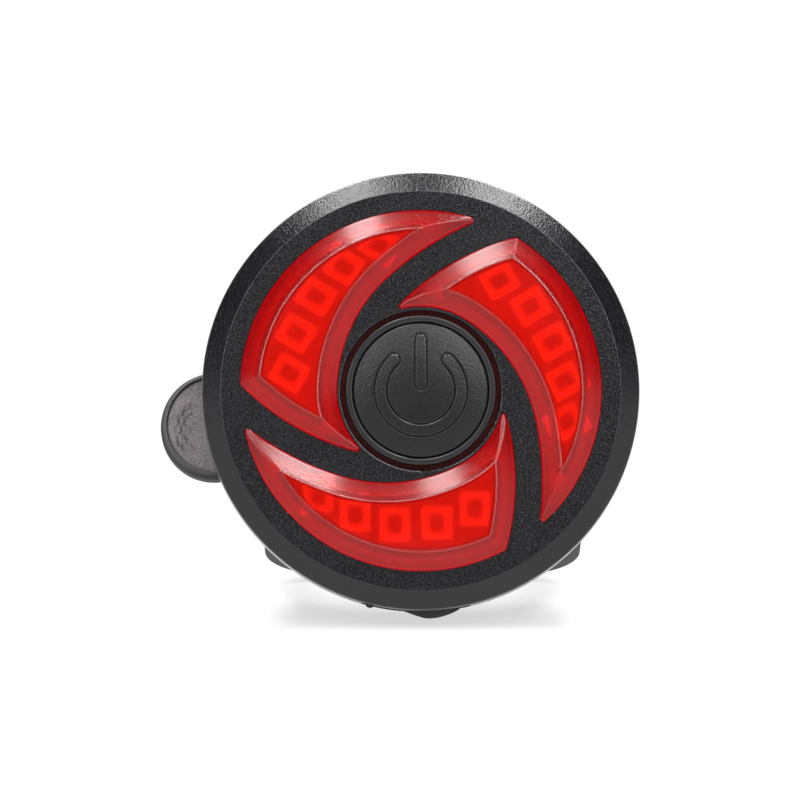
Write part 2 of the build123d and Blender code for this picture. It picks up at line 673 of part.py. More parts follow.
# ---------------------------------------------------------------- bracket
PLATE_Y = FACE_Y + DRUM_BACK
BACK_Y = PLATE_Y + PLATE_T
R_SEAT = R_POST + PAD_T
tip_a = math.radians(PAD_ARC)
with BuildPart() as bracket:
    with BuildSketch(Plane.XY.offset(ZR - SADDLE_H / 2)):
        with BuildLine():
            Polyline(
                (-R_SEAT * math.sin(tip_a), -R_SEAT * math.cos(tip_a)),
                (-(R_SEAT + 1.9) * math.sin(tip_a), -(R_SEAT + 1.9) * math.cos(tip_a)),
                (-17.9, BACK_Y + 2.6), (-19.3, BACK_Y + 0.4), (-19.3, PLATE_Y),
                (19.3, PLATE_Y), (19.3, BACK_Y + 0.4), (17.9, BACK_Y + 2.6),
                ((R_SEAT + 1.9) * math.sin(tip_a), -(R_SEAT + 1.9) * math.cos(tip_a)),
                (R_SEAT * math.sin(tip_a), -R_SEAT * math.cos(tip_a)),
            )
            ThreePointArc(
                (R_SEAT * math.sin(tip_a), -R_SEAT * math.cos(tip_a)), (0, -R_SEAT),
                (-R_SEAT * math.sin(tip_a), -R_SEAT * math.cos(tip_a)),
            )
        make_face()
    extrude(amount=SADDLE_H)
    # the plate's four corners follow the drum
    with BuildSketch(front(DRUM_BACK - 1)):
        with Locations((0, ZR)):
            Rectangle(60, 60)
            Circle(20.6, mode=Mode.SUBTRACT)
    extrude(amount=-30, mode=Mode.SUBTRACT)
    # coring at the sides of the saddle, open at the top and bottom ends
    for z0, h in ((ZR + SADDLE_H / 2, -13.0), (ZR - SADDLE_H / 2, 13.0)):
        with BuildSketch(Plane.XY.offset(z0)):
            for s in (-1, 1):
                with BuildLine():
                    Polyline(
                        (s * 11.2, BACK_Y + 0.4), (s * 16.2, BACK_Y + 0.4),
                        (s * 15.6, BACK_Y + 4.6), (s * 11.2, BACK_Y + 0.4),
                    )
                make_face()
        extrude(amount=h, mode=Mode.SUBTRACT)
    # hooks: a finger out of each side with its end curled towards the front
    for s in (-1, 1):
        with BuildSketch(front(DRUM_BACK)):
            with Locations((s * 22.2, ZR)):
                RectangleRounded(8.0, 6.0, 0.8)
        extrude(amount=-PLATE_T)
        with BuildSketch(front(DRUM_BACK - 1.0)):
            with Locations((s * 25.1, ZR)):
                RectangleRounded(2.2, 6.0, 0.8)
        extrude(amount=-(PLATE_T + 1.0))
    # holes for the two screws, with countersinks under the pad
    with BuildSketch(front(DRUM_BACK)):
        for z in (ZR - 13.2, ZR + 13.2):
            with Locations((0, z)):
                Circle(1.3)
    extrude(amount=-6, mode=Mode.SUBTRACT)
    with BuildSketch(front(DRUM_BACK + 1.0)):
        for z in (ZR - 13.2, ZR + 13.2):
            with Locations((0, z)):
                Circle(2.3)
    extrude(amount=-6, mode=Mode.SUBTRACT)
bracket.part.label = "bracket"
export_step(bracket.part, "parts/bracket.step")

# ---------------------------------------------------------------- bracket_screws
with BuildPart() as bracket_screws:
    with BuildSketch(front(DRUM_BACK + 1.0)):
        for z in (ZR - 13.2, ZR + 13.2):
            with Locations((0, z)):
                Circle(2.1)
    extrude(amount=-1.2)
    with BuildSketch(front(DRUM_BACK + 1.0)):
        for z in (ZR - 13.2, ZR + 13.2):
            with Locations((0, z)):
                Circle(0.95)
    extrude(amount=4.8)
    with BuildSketch(front(DRUM_BACK + 2.2)):
        for z in (ZR - 13.2, ZR + 13.2):
            with Locations((0, z)):
                Rectangle(2.4, 0.55)
                Rectangle(0.55, 2.4)
    extrude(amount=0.6, mode=Mode.SUBTRACT)
bracket_screws.part.label = "bracket_screws"
export_step(bracket_screws.part, "parts/bracket_screws.step")

# ---------------------------------------------------------------- saddle_pad
with BuildPart() as saddle_pad:
    with BuildSketch(Plane.XY.offset(ZR - PAD_H / 2)):
        with BuildLine():
            a = math.radians(PAD_ARC)
            ThreePointArc((-R_POST * math.sin(a), -R_POST * math.cos(a)), (0, -R_POST),
                          (R_POST * math.sin(a), -R_POST * math.cos(a)))
            Line((R_POST * math.sin(a), -R_POST * math.cos(a)),
                 (R_SEAT * math.sin(a), -R_SEAT * math.cos(a)))
            ThreePointArc((R_SEAT * math.sin(a), -R_SEAT * math.cos(a)), (0, -R_SEAT),
                          (-R_SEAT * math.sin(a), -R_SEAT * math.cos(a)))
            Line((-R_SEAT * math.sin(a), -R_SEAT * math.cos(a)),
                 (-R_POST * math.sin(a), -R_POST * math.cos(a)))
        make_face()
    extrude(amount=PAD_H)
saddle_pad.part.label = "saddle_pad"
export_step(saddle_pad.part, "parts/saddle_pad.step")

# ---------------------------------------------------------------- strap
# Drawn in a plane that is tipped about the hook axis by the droop angle: local x is +X,
# local y runs back along the loop, local z is the band's width.
d = math.radians(DROOP)
LEVEL = Plane(origin=(0, AXIS_Y, ZR), x_dir=(1, 0, 0), z_dir=(0, math.sin(d), math.cos(d)))
FRONT_TIP = Plane(origin=(0, AXIS_Y, ZR), x_dir=(1, 0, 0),
                  z_dir=(0, -math.cos(d), math.sin(d)))
BEND_R = 2.0
TAB_Y = -4.6
TAB_T = 2.4
def band_profile(with_ends):
    """The band seen from above: a line of arcs and runs, given its thickness."""
    with BuildSketch() as profile:
        with BuildLine():
            if with_ends:
                Line((-24.4, TAB_Y), (-HOOK_X - BEND_R, TAB_Y))
                ThreePointArc(
                    (-HOOK_X - BEND_R, TAB_Y),
                    (-HOOK_X - BEND_R * (1 - math.sqrt(0.5)), TAB_Y + BEND_R * (1 - math.sqrt(0.5))),
                    (-HOOK_X, TAB_Y + BEND_R))
            FilletPolyline(
                (-HOOK_X, TAB_Y + BEND_R), (-HOOK_X, 8.0), (LOOP_LEFT, 24.0), (LOOP_LEFT, LOOP_Y),
                (LOOP_RIGHT, LOOP_Y), (LOOP_RIGHT, 24.0), (HOOK_X, 8.0), (HOOK_X, TAB_Y + BEND_R),
                radius=(20.0, 20.0, LOOP_CORNER, LOOP_CORNER, 20.0, 20.0),
            )
            if with_ends:
                ThreePointArc(
                    (HOOK_X, TAB_Y + BEND_R),
                    (HOOK_X + BEND_R * (1 - math.sqrt(0.5)), TAB_Y + BEND_R * (1 - math.sqrt(0.5))),
                    (HOOK_X + BEND_R, TAB_Y))
                Line((HOOK_X + BEND_R, TAB_Y), (24.4, TAB_Y))
        trace(line_width=STRAP_T)
    return profile.sketch


with BuildPart() as strap:
    with BuildSketch(LEVEL):
        add(band_profile(False))
    extrude(amount=STRAP_W / 2, both=True)
    with BuildSketch(LEVEL):
        add(band_profile(True))
    extrude(amount=7.4, both=True)
    # the outward ends: a neck and the round tab on the left, a short stub on the right
    with BuildSketch(FRONT_TIP.offset(-TAB_Y - TAB_T / 2)):
        with Locations((TAB_X, 0)):
            Circle(TAB_R)
        with Locations(((TAB_X - 24.0) / 2, 0)):
            Rectangle(abs(TAB_X + 24.0), 14.0)
        with Locations((25.8, 0)):
            RectangleRounded(5.2, 14.0, 1.5)
    extrude(amount=TAB_T)
    # shallow dish in the tab's front, inside a raised rim
    with BuildSketch(FRONT_TIP.offset(-TAB_Y + TAB_T / 2)):
        with Locations((TAB_X, 0)):
            Circle(TAB_R - 1.2)
    extrude(amount=-0.5, mode=Mode.SUBTRACT)
    # slots that the hooks pass through, and the slots for thinner seatposts
    with BuildSketch(LEVEL.offset(-4.0)):
        for s in (-1, 1):
            with Locations((s * 22.0, 0.0)):
                Rectangle(8.0, 5.2)
    extrude(amount=8.0, mode=Mode.SUBTRACT)
    with BuildSketch(LEVEL.offset(-4.0)):
        for y in (9.5, 16.0):
            with Locations((-22.5, y)):
                Rectangle(8.0, 3.0)
    extrude(amount=8.0, mode=Mode.SUBTRACT)
strap.part.label = "strap"
export_step(strap.part, "parts/strap.step")
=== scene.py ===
import math

import bmesh
import bpy
import numpy as np
from mathutils import Matrix, Vector, geometry


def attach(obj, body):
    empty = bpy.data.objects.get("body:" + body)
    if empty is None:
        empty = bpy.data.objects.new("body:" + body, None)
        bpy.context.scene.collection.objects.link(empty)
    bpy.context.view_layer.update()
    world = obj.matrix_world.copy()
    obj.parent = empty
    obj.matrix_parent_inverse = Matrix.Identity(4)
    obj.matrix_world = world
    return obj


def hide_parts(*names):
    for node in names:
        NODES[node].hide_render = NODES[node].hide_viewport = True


# The looks of a round bicycle tail light. Sizes in the helpers are millimetres in the
# row frame: the light faces -Y, +Z is up the seatpost, "depth" is behind the face plane.

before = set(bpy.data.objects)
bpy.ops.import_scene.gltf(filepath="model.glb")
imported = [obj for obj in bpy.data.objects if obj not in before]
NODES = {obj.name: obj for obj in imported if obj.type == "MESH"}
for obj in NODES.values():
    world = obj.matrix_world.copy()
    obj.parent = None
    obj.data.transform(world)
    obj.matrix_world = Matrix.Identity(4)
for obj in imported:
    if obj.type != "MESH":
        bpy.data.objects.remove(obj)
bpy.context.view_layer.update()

MM = 0.001
FACE_Y = -38.5
ZR = -6.5
AXIS_Y = FACE_Y + 19.7
TAU = 2 * math.pi


# ---------------------------------------------------------------- mesh helpers
def mesh_object(name, verts, faces, smooth=True, sharp_deg=None, slots=None):
    """A mesh object from millimetre points; slots gives each face's material slot."""
    me = bpy.data.meshes.new(name)
    me.from_pydata([(v[0] * MM, v[1] * MM, v[2] * MM) for v in verts], [], faces)
    if slots is not None:
        me.polygons.foreach_set("material_index", slots)
    me.validate()
    bm = bmesh.new()
    bm.from_mesh(me)
    bmesh.ops.remove_doubles(bm, verts=bm.verts, dist=1e-7)
    bmesh.ops.recalc_face_normals(bm, faces=bm.faces)
    bm.to_mesh(me)
    bm.free()
    o = bpy.data.objects.new(name, me)
    bpy.context.scene.collection.objects.link(o)
    if smooth:
        for p in me.polygons:
            p.use_smooth = True
        if sharp_deg is not None:
            me.set_sharp_from_angle(angle=math.radians(sharp_deg))
    return o


def evaluated(o):
    """Applies the modifiers of o in place."""
    dg = bpy.context.evaluated_depsgraph_get()
    me = bpy.data.meshes.new_from_object(o.evaluated_get(dg))
    old = o.data
    o.modifiers.clear()
    o.data = me
    bpy.data.meshes.remove(old)
    return o


def bevel(o, width, segments=3, angle=35):
    m = o.modifiers.new("edge", "BEVEL")
    m.width = width * MM
    m.segments = segments
    m.limit_method = "ANGLE"
    m.angle_limit = math.radians(angle)
    m.use_clamp_overlap = True
    return evaluated(o)


def inside(points, loop):
    """Which points lie inside a closed polygon."""
    x, y = points[:, 0], points[:, 1]
    hit = np.zeros(len(points), bool)
    a = np.asarray(loop)
    b = np.roll(a, -1, axis=0)
    for (x0, y0), (x1, y1) in zip(a, b):
        cross = ((y0 > y) != (y1 > y)) & (
            x < (x1 - x0) * (y - y0) / ((y1 - y0) if y1 != y0 else 1e-12) + x0
        )
        hit ^= cross
    return hit


def fill_between(outer, holes):
    """Triangles of the area inside outer and outside the holes. Returns points, triangles."""
    pts, edges = [], []
    for loop in [outer, *holes]:
        n = len(pts)
        pts += [Vector((p[0], p[1])) for p in loop]
        edges += [(n + i, n + (i + 1) % len(loop)) for i in range(len(loop))]
    v, _, f, *_ = geometry.delaunay_2d_cdt(pts, edges, [], 0, 1e-6)
    v = np.array([(p[0], p[1]) for p in v])
    f = np.array([list(t) for t in f if len(t) == 3])
    c = v[f].mean(axis=1)
    keep = inside(c, outer)
    for h in holes:
        keep &= ~inside(c, h)
    return v, f[keep]


# ---------------------------------------------------------------- material helpers
class Mat:
    """A node material with the object's own coordinates in millimetres."""

    def __init__(self, name):
        self.m = bpy.data.materials.new(name)
        self.m.use_nodes = True
        self.nt = self.m.node_tree
        self.nt.nodes.clear()
        self.out = self.nt.nodes.new("ShaderNodeOutputMaterial")
        self.b = self.nt.nodes.new("ShaderNodeBsdfPrincipled")
        self.nt.links.new(self.b.outputs[0], self.out.inputs[0])
        tc = self.nt.nodes.new("ShaderNodeTexCoord")
        mp = self.nt.nodes.new("ShaderNodeMapping")
        mp.inputs["Scale"].default_value = (1000, 1000, 1000)
        self.nt.links.new(tc.outputs["Object"], mp.inputs["Vector"])
        self.co = mp.outputs[0]

    def node(self, kind, **values):
        n = self.nt.nodes.new(kind)
        for k, v in values.items():
            setattr(n, k, v)
        return n

    def link(self, a, b):
        self.nt.links.new(a, b)

    def set(self, **values):
        for k, v in values.items():
            self.b.inputs[k.replace("_", " ")].default_value = v
        return self

    def noise(self, scale, detail=3.0, rough=0.5, distortion=0.0, vector=None):
        n = self.node("ShaderNodeTexNoise")
        n.inputs["Scale"].default_value = scale
        n.inputs["Detail"].default_value = detail
        n.inputs["Roughness"].default_value = rough
        n.inputs["Distortion"].default_value = distortion
        self.link(vector or self.co, n.inputs["Vector"])
        return n.outputs[0]

    def voronoi(self, scale, feature="F1", vector=None, randomness=1.0):
        n = self.node("ShaderNodeTexVoronoi", feature=feature)
        n.inputs["Scale"].default_value = scale
        n.inputs["Randomness"].default_value = randomness
        self.link(vector or self.co, n.inputs["Vector"])
        return n.outputs[0]

    def ramp(self, value, stops):
        n = self.node("ShaderNodeValToRGB")
        e = n.color_ramp.elements
        while len(e) > 1:
            e.remove(e[-1])
        e[0].position, e[0].color = stops[0][0], tuple(stops[0][1])
        for p, c in stops[1:]:
            x = e.new(p)
            x.color = tuple(c)
        self.link(value, n.inputs[0])
        return n.outputs[0]

    def grey(self, value, stops):
        return self.ramp(value, [(p, (c, c, c, 1)) for p, c in stops])

    def math(self, op, a, b=None, c=None, clamp=False):
        n = self.node("ShaderNodeMath", operation=op, use_clamp=clamp)
        for i, v in enumerate((a, b, c)):
            if v is None:
                continue
            if isinstance(v, (int, float)):
                n.inputs[i].default_value = v
            else:
                self.link(v, n.inputs[i])
        return n.outputs[0]

    def mix(self, fac, a, b):
        n = self.node("ShaderNodeMix", data_type="RGBA")
        for sock, v in ((n.inputs[0], fac), (n.inputs[6], a), (n.inputs[7], b)):
            if isinstance(v, (int, float)):
                sock.default_value = v
            elif isinstance(v, tuple):
                sock.default_value = v
            else:
                self.link(v, sock)
        return n.outputs[2]

    def span(self, value, a, b, c=0.0, d=1.0, smooth=True):
        n = self.node("ShaderNodeMapRange")
        n.interpolation_type = "SMOOTHSTEP" if smooth else "LINEAR"
        for i, v in enumerate((a, b, c, d)):
            n.inputs[1 + i].default_value = v
        self.link(value, n.inputs[0])
        return n.outputs[0]

    def xyz(self):
        n = self.node("ShaderNodeSeparateXYZ")
        self.link(self.co, n.inputs[0])
        return n.outputs[0], n.outputs[1], n.outputs[2]

    def bump(self, height, distance_mm, strength=1.0, normal=None):
        n = self.node("ShaderNodeBump")
        n.inputs["Strength"].default_value = strength
        n.inputs["Distance"].default_value = distance_mm * MM
        self.link(height, n.inputs["Height"])
        if normal is not None:
            self.link(normal, n.inputs["Normal"])
        self.link(n.outputs[0], self.b.inputs["Normal"])
        return n.outputs[0]

    def rounded(self, radius_mm, samples=4):
        """Normals that round the crisp edges of a moulded part."""
        n = self.node("ShaderNodeBevel", samples=samples)
        n.inputs["Radius"].default_value = radius_mm * MM
        return n.outputs[0]

    def color(self, sock):
        self.link(sock, self.b.inputs["Base Color"])

    def rough(self, sock):
        self.link(sock, self.b.inputs["Roughness"])


def moulded(name, base, grain, rough, grain_scale=3.2, grain_depth=0.012, tint=0.25,
            edge=0.12, spec=0.5):
    """Moulded plastic or rubber with a spark-eroded grain, faint blotches and scuffs."""
    m = Mat(name)
    m.set(**{"Specular_IOR_Level": spec})
    fine = m.noise(grain_scale, 2.0, 0.55)
    coarse = m.noise(0.16, 3.0, 0.55)
    speck = m.noise(grain_scale * 1.9, 1.0, 0.5)
    dark = tuple(c * (1 - tint) for c in base) + (1,)
    light = tuple(min(1, c * (1 + tint)) for c in base) + (1,)
    tone = m.math("ADD", m.math("MULTIPLY", coarse, 0.6), m.math("MULTIPLY", speck, 0.4))
    m.color(m.ramp(tone, [(0.32, dark), (0.68, light)]))
    r = m.math("ADD", m.math("MULTIPLY", fine, grain), m.math("MULTIPLY", coarse, 0.08))
    m.rough(m.math("ADD", r, rough - grain / 2 - 0.04, clamp=True))
    m.bump(fine, grain_depth, 1.0, m.rounded(edge) if edge else None)
    return m


def give(node, mat):
    """Sets the material on a CAD node's object slots."""
    o = NODES[node]
    while len(o.data.materials) < 1:
        o.data.materials.append(None)
    for s in o.material_slots:
        s.link = "OBJECT"
        s.material = mat


# ---------------------------------------------------------------- blade outlines
PX = 0.1494
BLADE_TURNS = (-69.06, 50.94, 170.94)
END_C, END_R = (137.8 * PX, 115.0 * PX), 248.5 * PX
HUB_R, RIM_R = 84.2 * PX, 180.6 * PX
HUB_END = 126.75
SWEEP1_R, SWEEP1_END = 158.4 * PX, 79.94
SWEEP2_R = 319.0 * PX
SWEEP1_C = ((84.2 - 158.4) * PX * math.cos(math.radians(HUB_END)),
            (84.2 - 158.4) * PX * math.sin(math.radians(HUB_END)))
SWEEP2_C = (SWEEP1_C[0] + (158.4 - 319.0) * PX * math.cos(math.radians(SWEEP1_END)),
            SWEEP1_C[1] + (158.4 - 319.0) * PX * math.sin(math.radians(SWEEP1_END)))
RIM_H, BLADE_H, BLADE_BEVEL = 0.28, 1.9, 2.9


def circle_meet(c0, r0, c1, r1, pick):
    dx, dy = c1[0] - c0[0], c1[1] - c0[1]
    d = math.hypot(dx, dy)
    a = (r0 * r0 - r1 * r1 + d * d) / (2 * d)
    h = math.sqrt(max(r0 * r0 - a * a, 0.0))
    x, y = c0[0] + a * dx / d, c0[1] + a * dy / d
    return (x - pick * h * dy / d, y + pick * h * dx / d)


def blade_loop(grow, rc, turn=0.0):
    """Points round a blade's outline moved outwards by grow, corners rounded by rc.
    Every loop has the same number of points, so that loops can be joined by quads."""
    ro, re = RIM_R + grow, END_R + grow
    rh, r1, r2 = HUB_R - grow, SWEEP1_R - grow, SWEEP2_R - grow
    far = max((circle_meet((0, 0), ro, END_C, re, k) for k in (1, -1)), key=lambda p: p[1])
    tip = min((circle_meet((0, 0), rh, END_C, re, k) for k in (1, -1)), key=lambda p: p[0])
    tail = max((circle_meet((0, 0), ro, SWEEP2_C, r2, k) for k in (1, -1)),
               key=lambda p: p[0])
    join = (rh * math.cos(math.radians(HUB_END)), rh * math.sin(math.radians(HUB_END)))
    k = math.radians(SWEEP1_END)
    knee = (SWEEP1_C[0] + r1 * math.cos(k), SWEEP1_C[1] + r1 * math.sin(k))
    runs = [((0, 0), ro, tail, far, 56), (END_C, re, far, tip, 30), ((0, 0), rh, tip, join, 14),
            (SWEEP1_C, r1, join, knee, 22), (SWEEP2_C, r2, knee, tail, 34)]

    def ends(c, p, q):
        a = math.atan2(p[1] - c[1], p[0] - c[0])
        b = math.atan2(q[1] - c[1], q[0] - c[0])
        while b - a > math.pi:
            b -= TAU
        while a - b > math.pi:
            b += TAU
        return a, b

    spans = [[c, r, *ends(c, p, q), n] for c, r, p, q, n in runs]

    def at(s, t):
        c, r, a, b, _ = s
        w = a + (b - a) * t
        return np.array((c[0] + r * math.cos(w), c[1] + r * math.sin(w)))

    def heading(s, t):
        c, r, a, b, _ = s
        w = a + (b - a) * t
        d = np.array((-math.sin(w), math.cos(w))) * (1 if b > a else -1)
        return d

    # how much of each run the corner at its end or start takes
    cut0, cut1 = [0.0] * 5, [0.0] * 5
    for i in (0, 1, 4):
        j = (i + 1) % 5
        d0, d1 = heading(spans[i], 1), heading(spans[j], 0)
        turn_a = math.acos(max(-1, min(1, float(d0 @ d1))))
        tl = rc * math.tan(turn_a / 2)
        li = spans[i][1] * abs(spans[i][3] - spans[i][2])
        lj = spans[j][1] * abs(spans[j][3] - spans[j][2])
        cut1[i] = min(0.45, tl / li)
        cut0[j] = min(0.45, tl / lj)
    pts = []
    for i, s in enumerate(spans):
        n = s[4]
        t0, t1 = cut0[i], 1 - cut1[i]
        last = n if i in (2, 3) else n + 1
        for k2 in range(last):
            pts.append(at(s, t0 + (t1 - t0) * k2 / n))
        if i in (0, 1, 4):
            j = (i + 1) % 5
            p0, p2, v = at(s, t1), at(spans[j], cut0[j]), at(s, 1.0)
            m = 8
            for k2 in range(1, m):
                t = k2 / m
                pts.append((1 - t) ** 2 * p0 + 2 * t * (1 - t) * v + t * t * p2)
    pts = np.array(pts)
    a = math.radians(turn)
    rot = np.array(((math.cos(a), -math.sin(a)), (math.sin(a), math.cos(a))))
    return pts @ rot.T


def circle_loop(cx, cy, r, n):
    a = np.arange(n) * TAU / n
    return np.stack((cx + r * np.cos(a), cy + r * np.sin(a)), 1)


# ---------------------------------------------------------------- lens
R_LENS, R_HUB, R_STEM = 28.3, 11.24, 4.2
POSTS = [(19.3 * math.cos(math.radians(a)), 19.3 * math.sin(math.radians(a)))
         for a in (87.3, 207.3, 327.3)]


def notched(o):
    """Cuts the clearances for the four casing screws into the edge of the lens plate."""
    verts, faces, n = [], [], 40
    for a in (45, 135, 225, 315):
        x, z = 28.9 * math.cos(math.radians(a)), 28.9 * math.sin(math.radians(a))
        k = len(verts)
        for d in (1.58, 3.6):
            verts.extend((p[0], FACE_Y + d, p[1]) for p in circle_loop(x, z, 2.3, n))
        faces.extend((k + i, k + (i + 1) % n, k + n + (i + 1) % n, k + n + i) for i in range(n))
        faces.append(tuple(range(k, k + n)))
        faces.append(tuple(range(k + 2 * n - 1, k + n - 1, -1)))
    cutter = mesh_object("notch_cutter", verts, faces, smooth=False)
    m = o.modifiers.new("notches", "BOOLEAN")
    m.operation, m.solver, m.object = "DIFFERENCE", "EXACT", cutter
    evaluated(o)
    bpy.data.objects.remove(cutter)
    o.data.set_sharp_from_angle(angle=math.radians(24))
    return o


def build_lens():
    verts, faces, slots = [], [], []
    slot_now = [0]

    def mark():
        slots.extend([slot_now[0]] * (len(faces) - len(slots)))

    def put(loop, depth):
        n = len(verts)
        verts.extend((p[0], FACE_Y + depth, p[1]) for p in loop)
        return list(range(n, n + len(loop)))

    def skin(a, b):
        n = len(a)
        for i in range(n):
            j = (i + 1) % n
            faces.append((a[i], a[j], b[j], b[i]))

    def area(outer, holes, depth):
        v, f = fill_between(outer, holes)
        n = len(verts)
        verts.extend((p[0], FACE_Y + depth, p[1]) for p in v)
        faces.extend(tuple(int(i) + n for i in t) for t in f)

    rim = circle_loop(0, 0, R_LENS, 288)
    hub = circle_loop(0, 0, R_HUB, 200)
    stem = circle_loop(0, 0, R_STEM, 72)
    posts = [circle_loop(x, y, 1.6, 32) for x, y in POSTS]
    # outside of the blades: skirt, small rim radius, bevel, ridge radius, plateau
    slope = (BLADE_H - RIM_H) / BLADE_BEVEL
    rows = [(0.0, 1.6), (0.0, 0.5), (0.0, -0.12), (0.03, -0.22), (0.10, -0.30),
            (0.22, -(RIM_H + 0.2 * slope))]
    rows += [(o, -(RIM_H + slope * o)) for o in (0.45, 0.9, 1.4, 1.9, 2.35, 2.66)]
    rows += [(2.80, -(RIM_H + slope * 2.80) + 0.008), (2.92, -BLADE_H + 0.018),
             (3.06, -BLADE_H)]
    top_holes, bottom_holes = [], []
    for turn in BLADE_TURNS:
        prev = None
        for o, d in rows:
            rc = 0.60 - 0.46 * min(1.0, o / BLADE_BEVEL)
            loop = blade_loop(-o, rc, turn)
            ids = put(loop, d)
            if prev:
                skin(prev, ids)
            else:
                top_holes.append(loop)
            prev = ids
        faces.append(tuple(prev))
        mark()
        slot_now[0] = 1
        # inside: solid under the bevel, a wall behind the ridge and the flat ceiling
        prev = None
        for o, d in ((2.52, 3.2), (2.55, 2.2), (2.59, 1.4), (2.64, 0.8), (2.71, 0.38),
                     (2.81, 0.06), (2.93, -0.14), (3.08, -0.28), (3.26, -0.37),
                     (3.48, -0.44), (3.80, -0.48)):
            loop = blade_loop(-o, 0.4 if o < 3 else 0.55, turn)
            ids = put(loop, d)
            if prev:
                skin(prev, ids)
            else:
                bottom_holes.append(loop)
            prev = ids
        faces.append(tuple(prev))
        mark()
        slot_now[0] = 0
    area(rim, [hub, *posts, *top_holes], 1.6)
    area(hub, [stem], 2.2)
    area(rim, [stem, *posts, *bottom_holes], 3.2)
    skin(put(rim, 1.6), put(rim, 3.2))
    skin(put(hub, 1.6), put(hub, 2.2))
    skin(put(stem, 2.2), put(stem, 3.2))
    for p in posts:
        skin(put(p, 1.6), put(p, 3.2))
    mark()
    return notched(mesh_object("lens_moulding", verts, faces, slots=slots))


def store_inset(o):
    """Keeps, at each vertex, how far inside a blade's outline it lies, in millimetres."""
    me = o.data
    co = np.empty(len(me.vertices) * 3)
    me.vertices.foreach_get("co", co)
    p = co.reshape(-1, 3)[:, (0, 2)] / MM
    best = np.full(len(p), -9.0)
    for turn in BLADE_TURNS:
        loop = blade_loop(0.0, 0.6, turn)
        a, b = loop, np.roll(loop, -1, axis=0)
        ab = b - a
        dist = np.full(len(p), 1e9)
        for k in range(len(a)):
            t = np.clip(((p - a[k]) @ ab[k]) / max(float(ab[k] @ ab[k]), 1e-12), 0, 1)
            q = p - a[k] - t[:, None] * ab[k]
            dist = np.minimum(dist, np.hypot(q[:, 0], q[:, 1]))
        near = dist < 0.02
        signed = np.where(inside(p, loop) | near, np.where(near, 0.0, dist), -dist)
        best = np.maximum(best, signed)
    # the back of the plate is clear all over: the colour is set by the front
    back = co.reshape(-1, 3)[:, 1] / MM > FACE_Y + 3.1
    best[back] = np.maximum(best[back], 1.8)
    layer = me.attributes.new("inset", "FLOAT", "POINT")
    layer.data.foreach_set("value", best.astype(np.float32))


lens_vis = build_lens()
store_inset(lens_vis)
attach(lens_vis, "housing")
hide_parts("lens")

# ---------------------------------------------------------------- button
DOME_CENTRE, DOME_EDGE = -1.0, -0.15


def smooth01(x):
    x = np.clip(x, 0, 1)
    return x * x * (3 - 2 * x)


def pictogram_distance(x, z):
    """Signed distance to the power pictogram, negative inside."""
    # bar with round ends
    bz = np.clip(z, 0.95, 7.55)
    bar = np.hypot(x, z - bz) - 0.95
    # ring, open at the top, with round ends
    r = np.hypot(x, z)
    a = np.arctan2(np.abs(x), z)
    gap = math.radians(41.5)
    ex, ez = 6.05 * math.sin(gap), 6.05 * math.cos(gap)
    ends = np.hypot(np.abs(x) - ex, z - ez)
    ring = np.where(a > gap, np.abs(r - 6.05), ends) - 0.95
    return np.minimum(bar, ring)


def build_button():
    n = 420
    ang = np.arange(n) * TAU / n
    radii = list(np.linspace(0.12, 9.72, 138)) + [9.79, 9.86, 9.92, 9.97, 10.01, 10.04, 10.05]
    c = DOME_CENTRE
    k = (DOME_EDGE - DOME_CENTRE) / 9.75 ** 2
    verts, faces = [(0, FACE_Y + c, 0)], []
    rings = []
    for r in radii:
        x, z = r * np.sin(ang), r * np.cos(ang)
        if r <= 9.75:
            d = c + k * r * r
        else:
            t = (r - 9.75) / 0.3
            d = DOME_EDGE + 0.3 * (1 - math.sqrt(max(0.0, 1 - t * t)))
        s = pictogram_distance(x, z)
        lift = 0.11 * (1 - smooth01((s + 0.30) / 0.30))
        crease = 0.15 * np.exp(-((s - 0.02) / 0.085) ** 2)
        depth = d - (lift - crease) * (r < 9.4)
        rings.append(len(verts))
        verts += [(float(x[i]), float(FACE_Y + depth[i]), float(z[i])) for i in range(n)]
    for i in range(n):
        faces.append((0, rings[0] + i, rings[0] + (i + 1) % n))
    profile = [(10.05, 1.0), (10.6, 1.0), (10.6, 1.6), (3.0, 1.6), (3.0, 3.8)]
    for r, d in profile:
        rings.append(len(verts))
        verts += [(float(r * math.sin(a)), FACE_Y + d, float(r * math.cos(a))) for a in ang]
    for a, b in zip(rings, rings[1:]):
        for i in range(n):
            j = (i + 1) % n
            faces.append((a + i, b + i, b + j, a + j))
    faces.append(tuple(range(rings[-1], rings[-1] + n)))
    return mesh_object("button_domed", verts, faces, sharp_deg=50)


button_vis = build_button()
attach(button_vis, "button")
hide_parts("button_cap")

# ---------------------------------------------------------------- strap
DROOP = math.radians(18.0)
TAB_R, TAB_X, TAB_Y, TAB_T = 8.25, -31.45, -4.6, 2.4
TAB_TALL, TAB_UP = 1.055, 0.15
CREASES = ((6.25, 0.0, 0.11, 0.19), (5.65, 0.35, 0.13, 0.17), (5.0, -0.3, 0.12, 0.19),
           (4.35, 0.5, 0.07, 0.18))
STRAP_T, STRAP_W = 2.6, 16.0
HOOK_X, BEND_R = 21.5, 2.0
LOOP_LEFT, LOOP_RIGHT, LOOP_Y, LOOP_CORNER = -23.5, 24.5, 41.3, 10.0


def strap_place(p):
    """Strap-local (x, y back along the loop, z width) to the row frame."""
    x, y, z = p
    c, s = math.cos(DROOP), math.sin(DROOP)
    return (x, AXIS_Y + y * c + z * s, ZR - y * s + z * c)


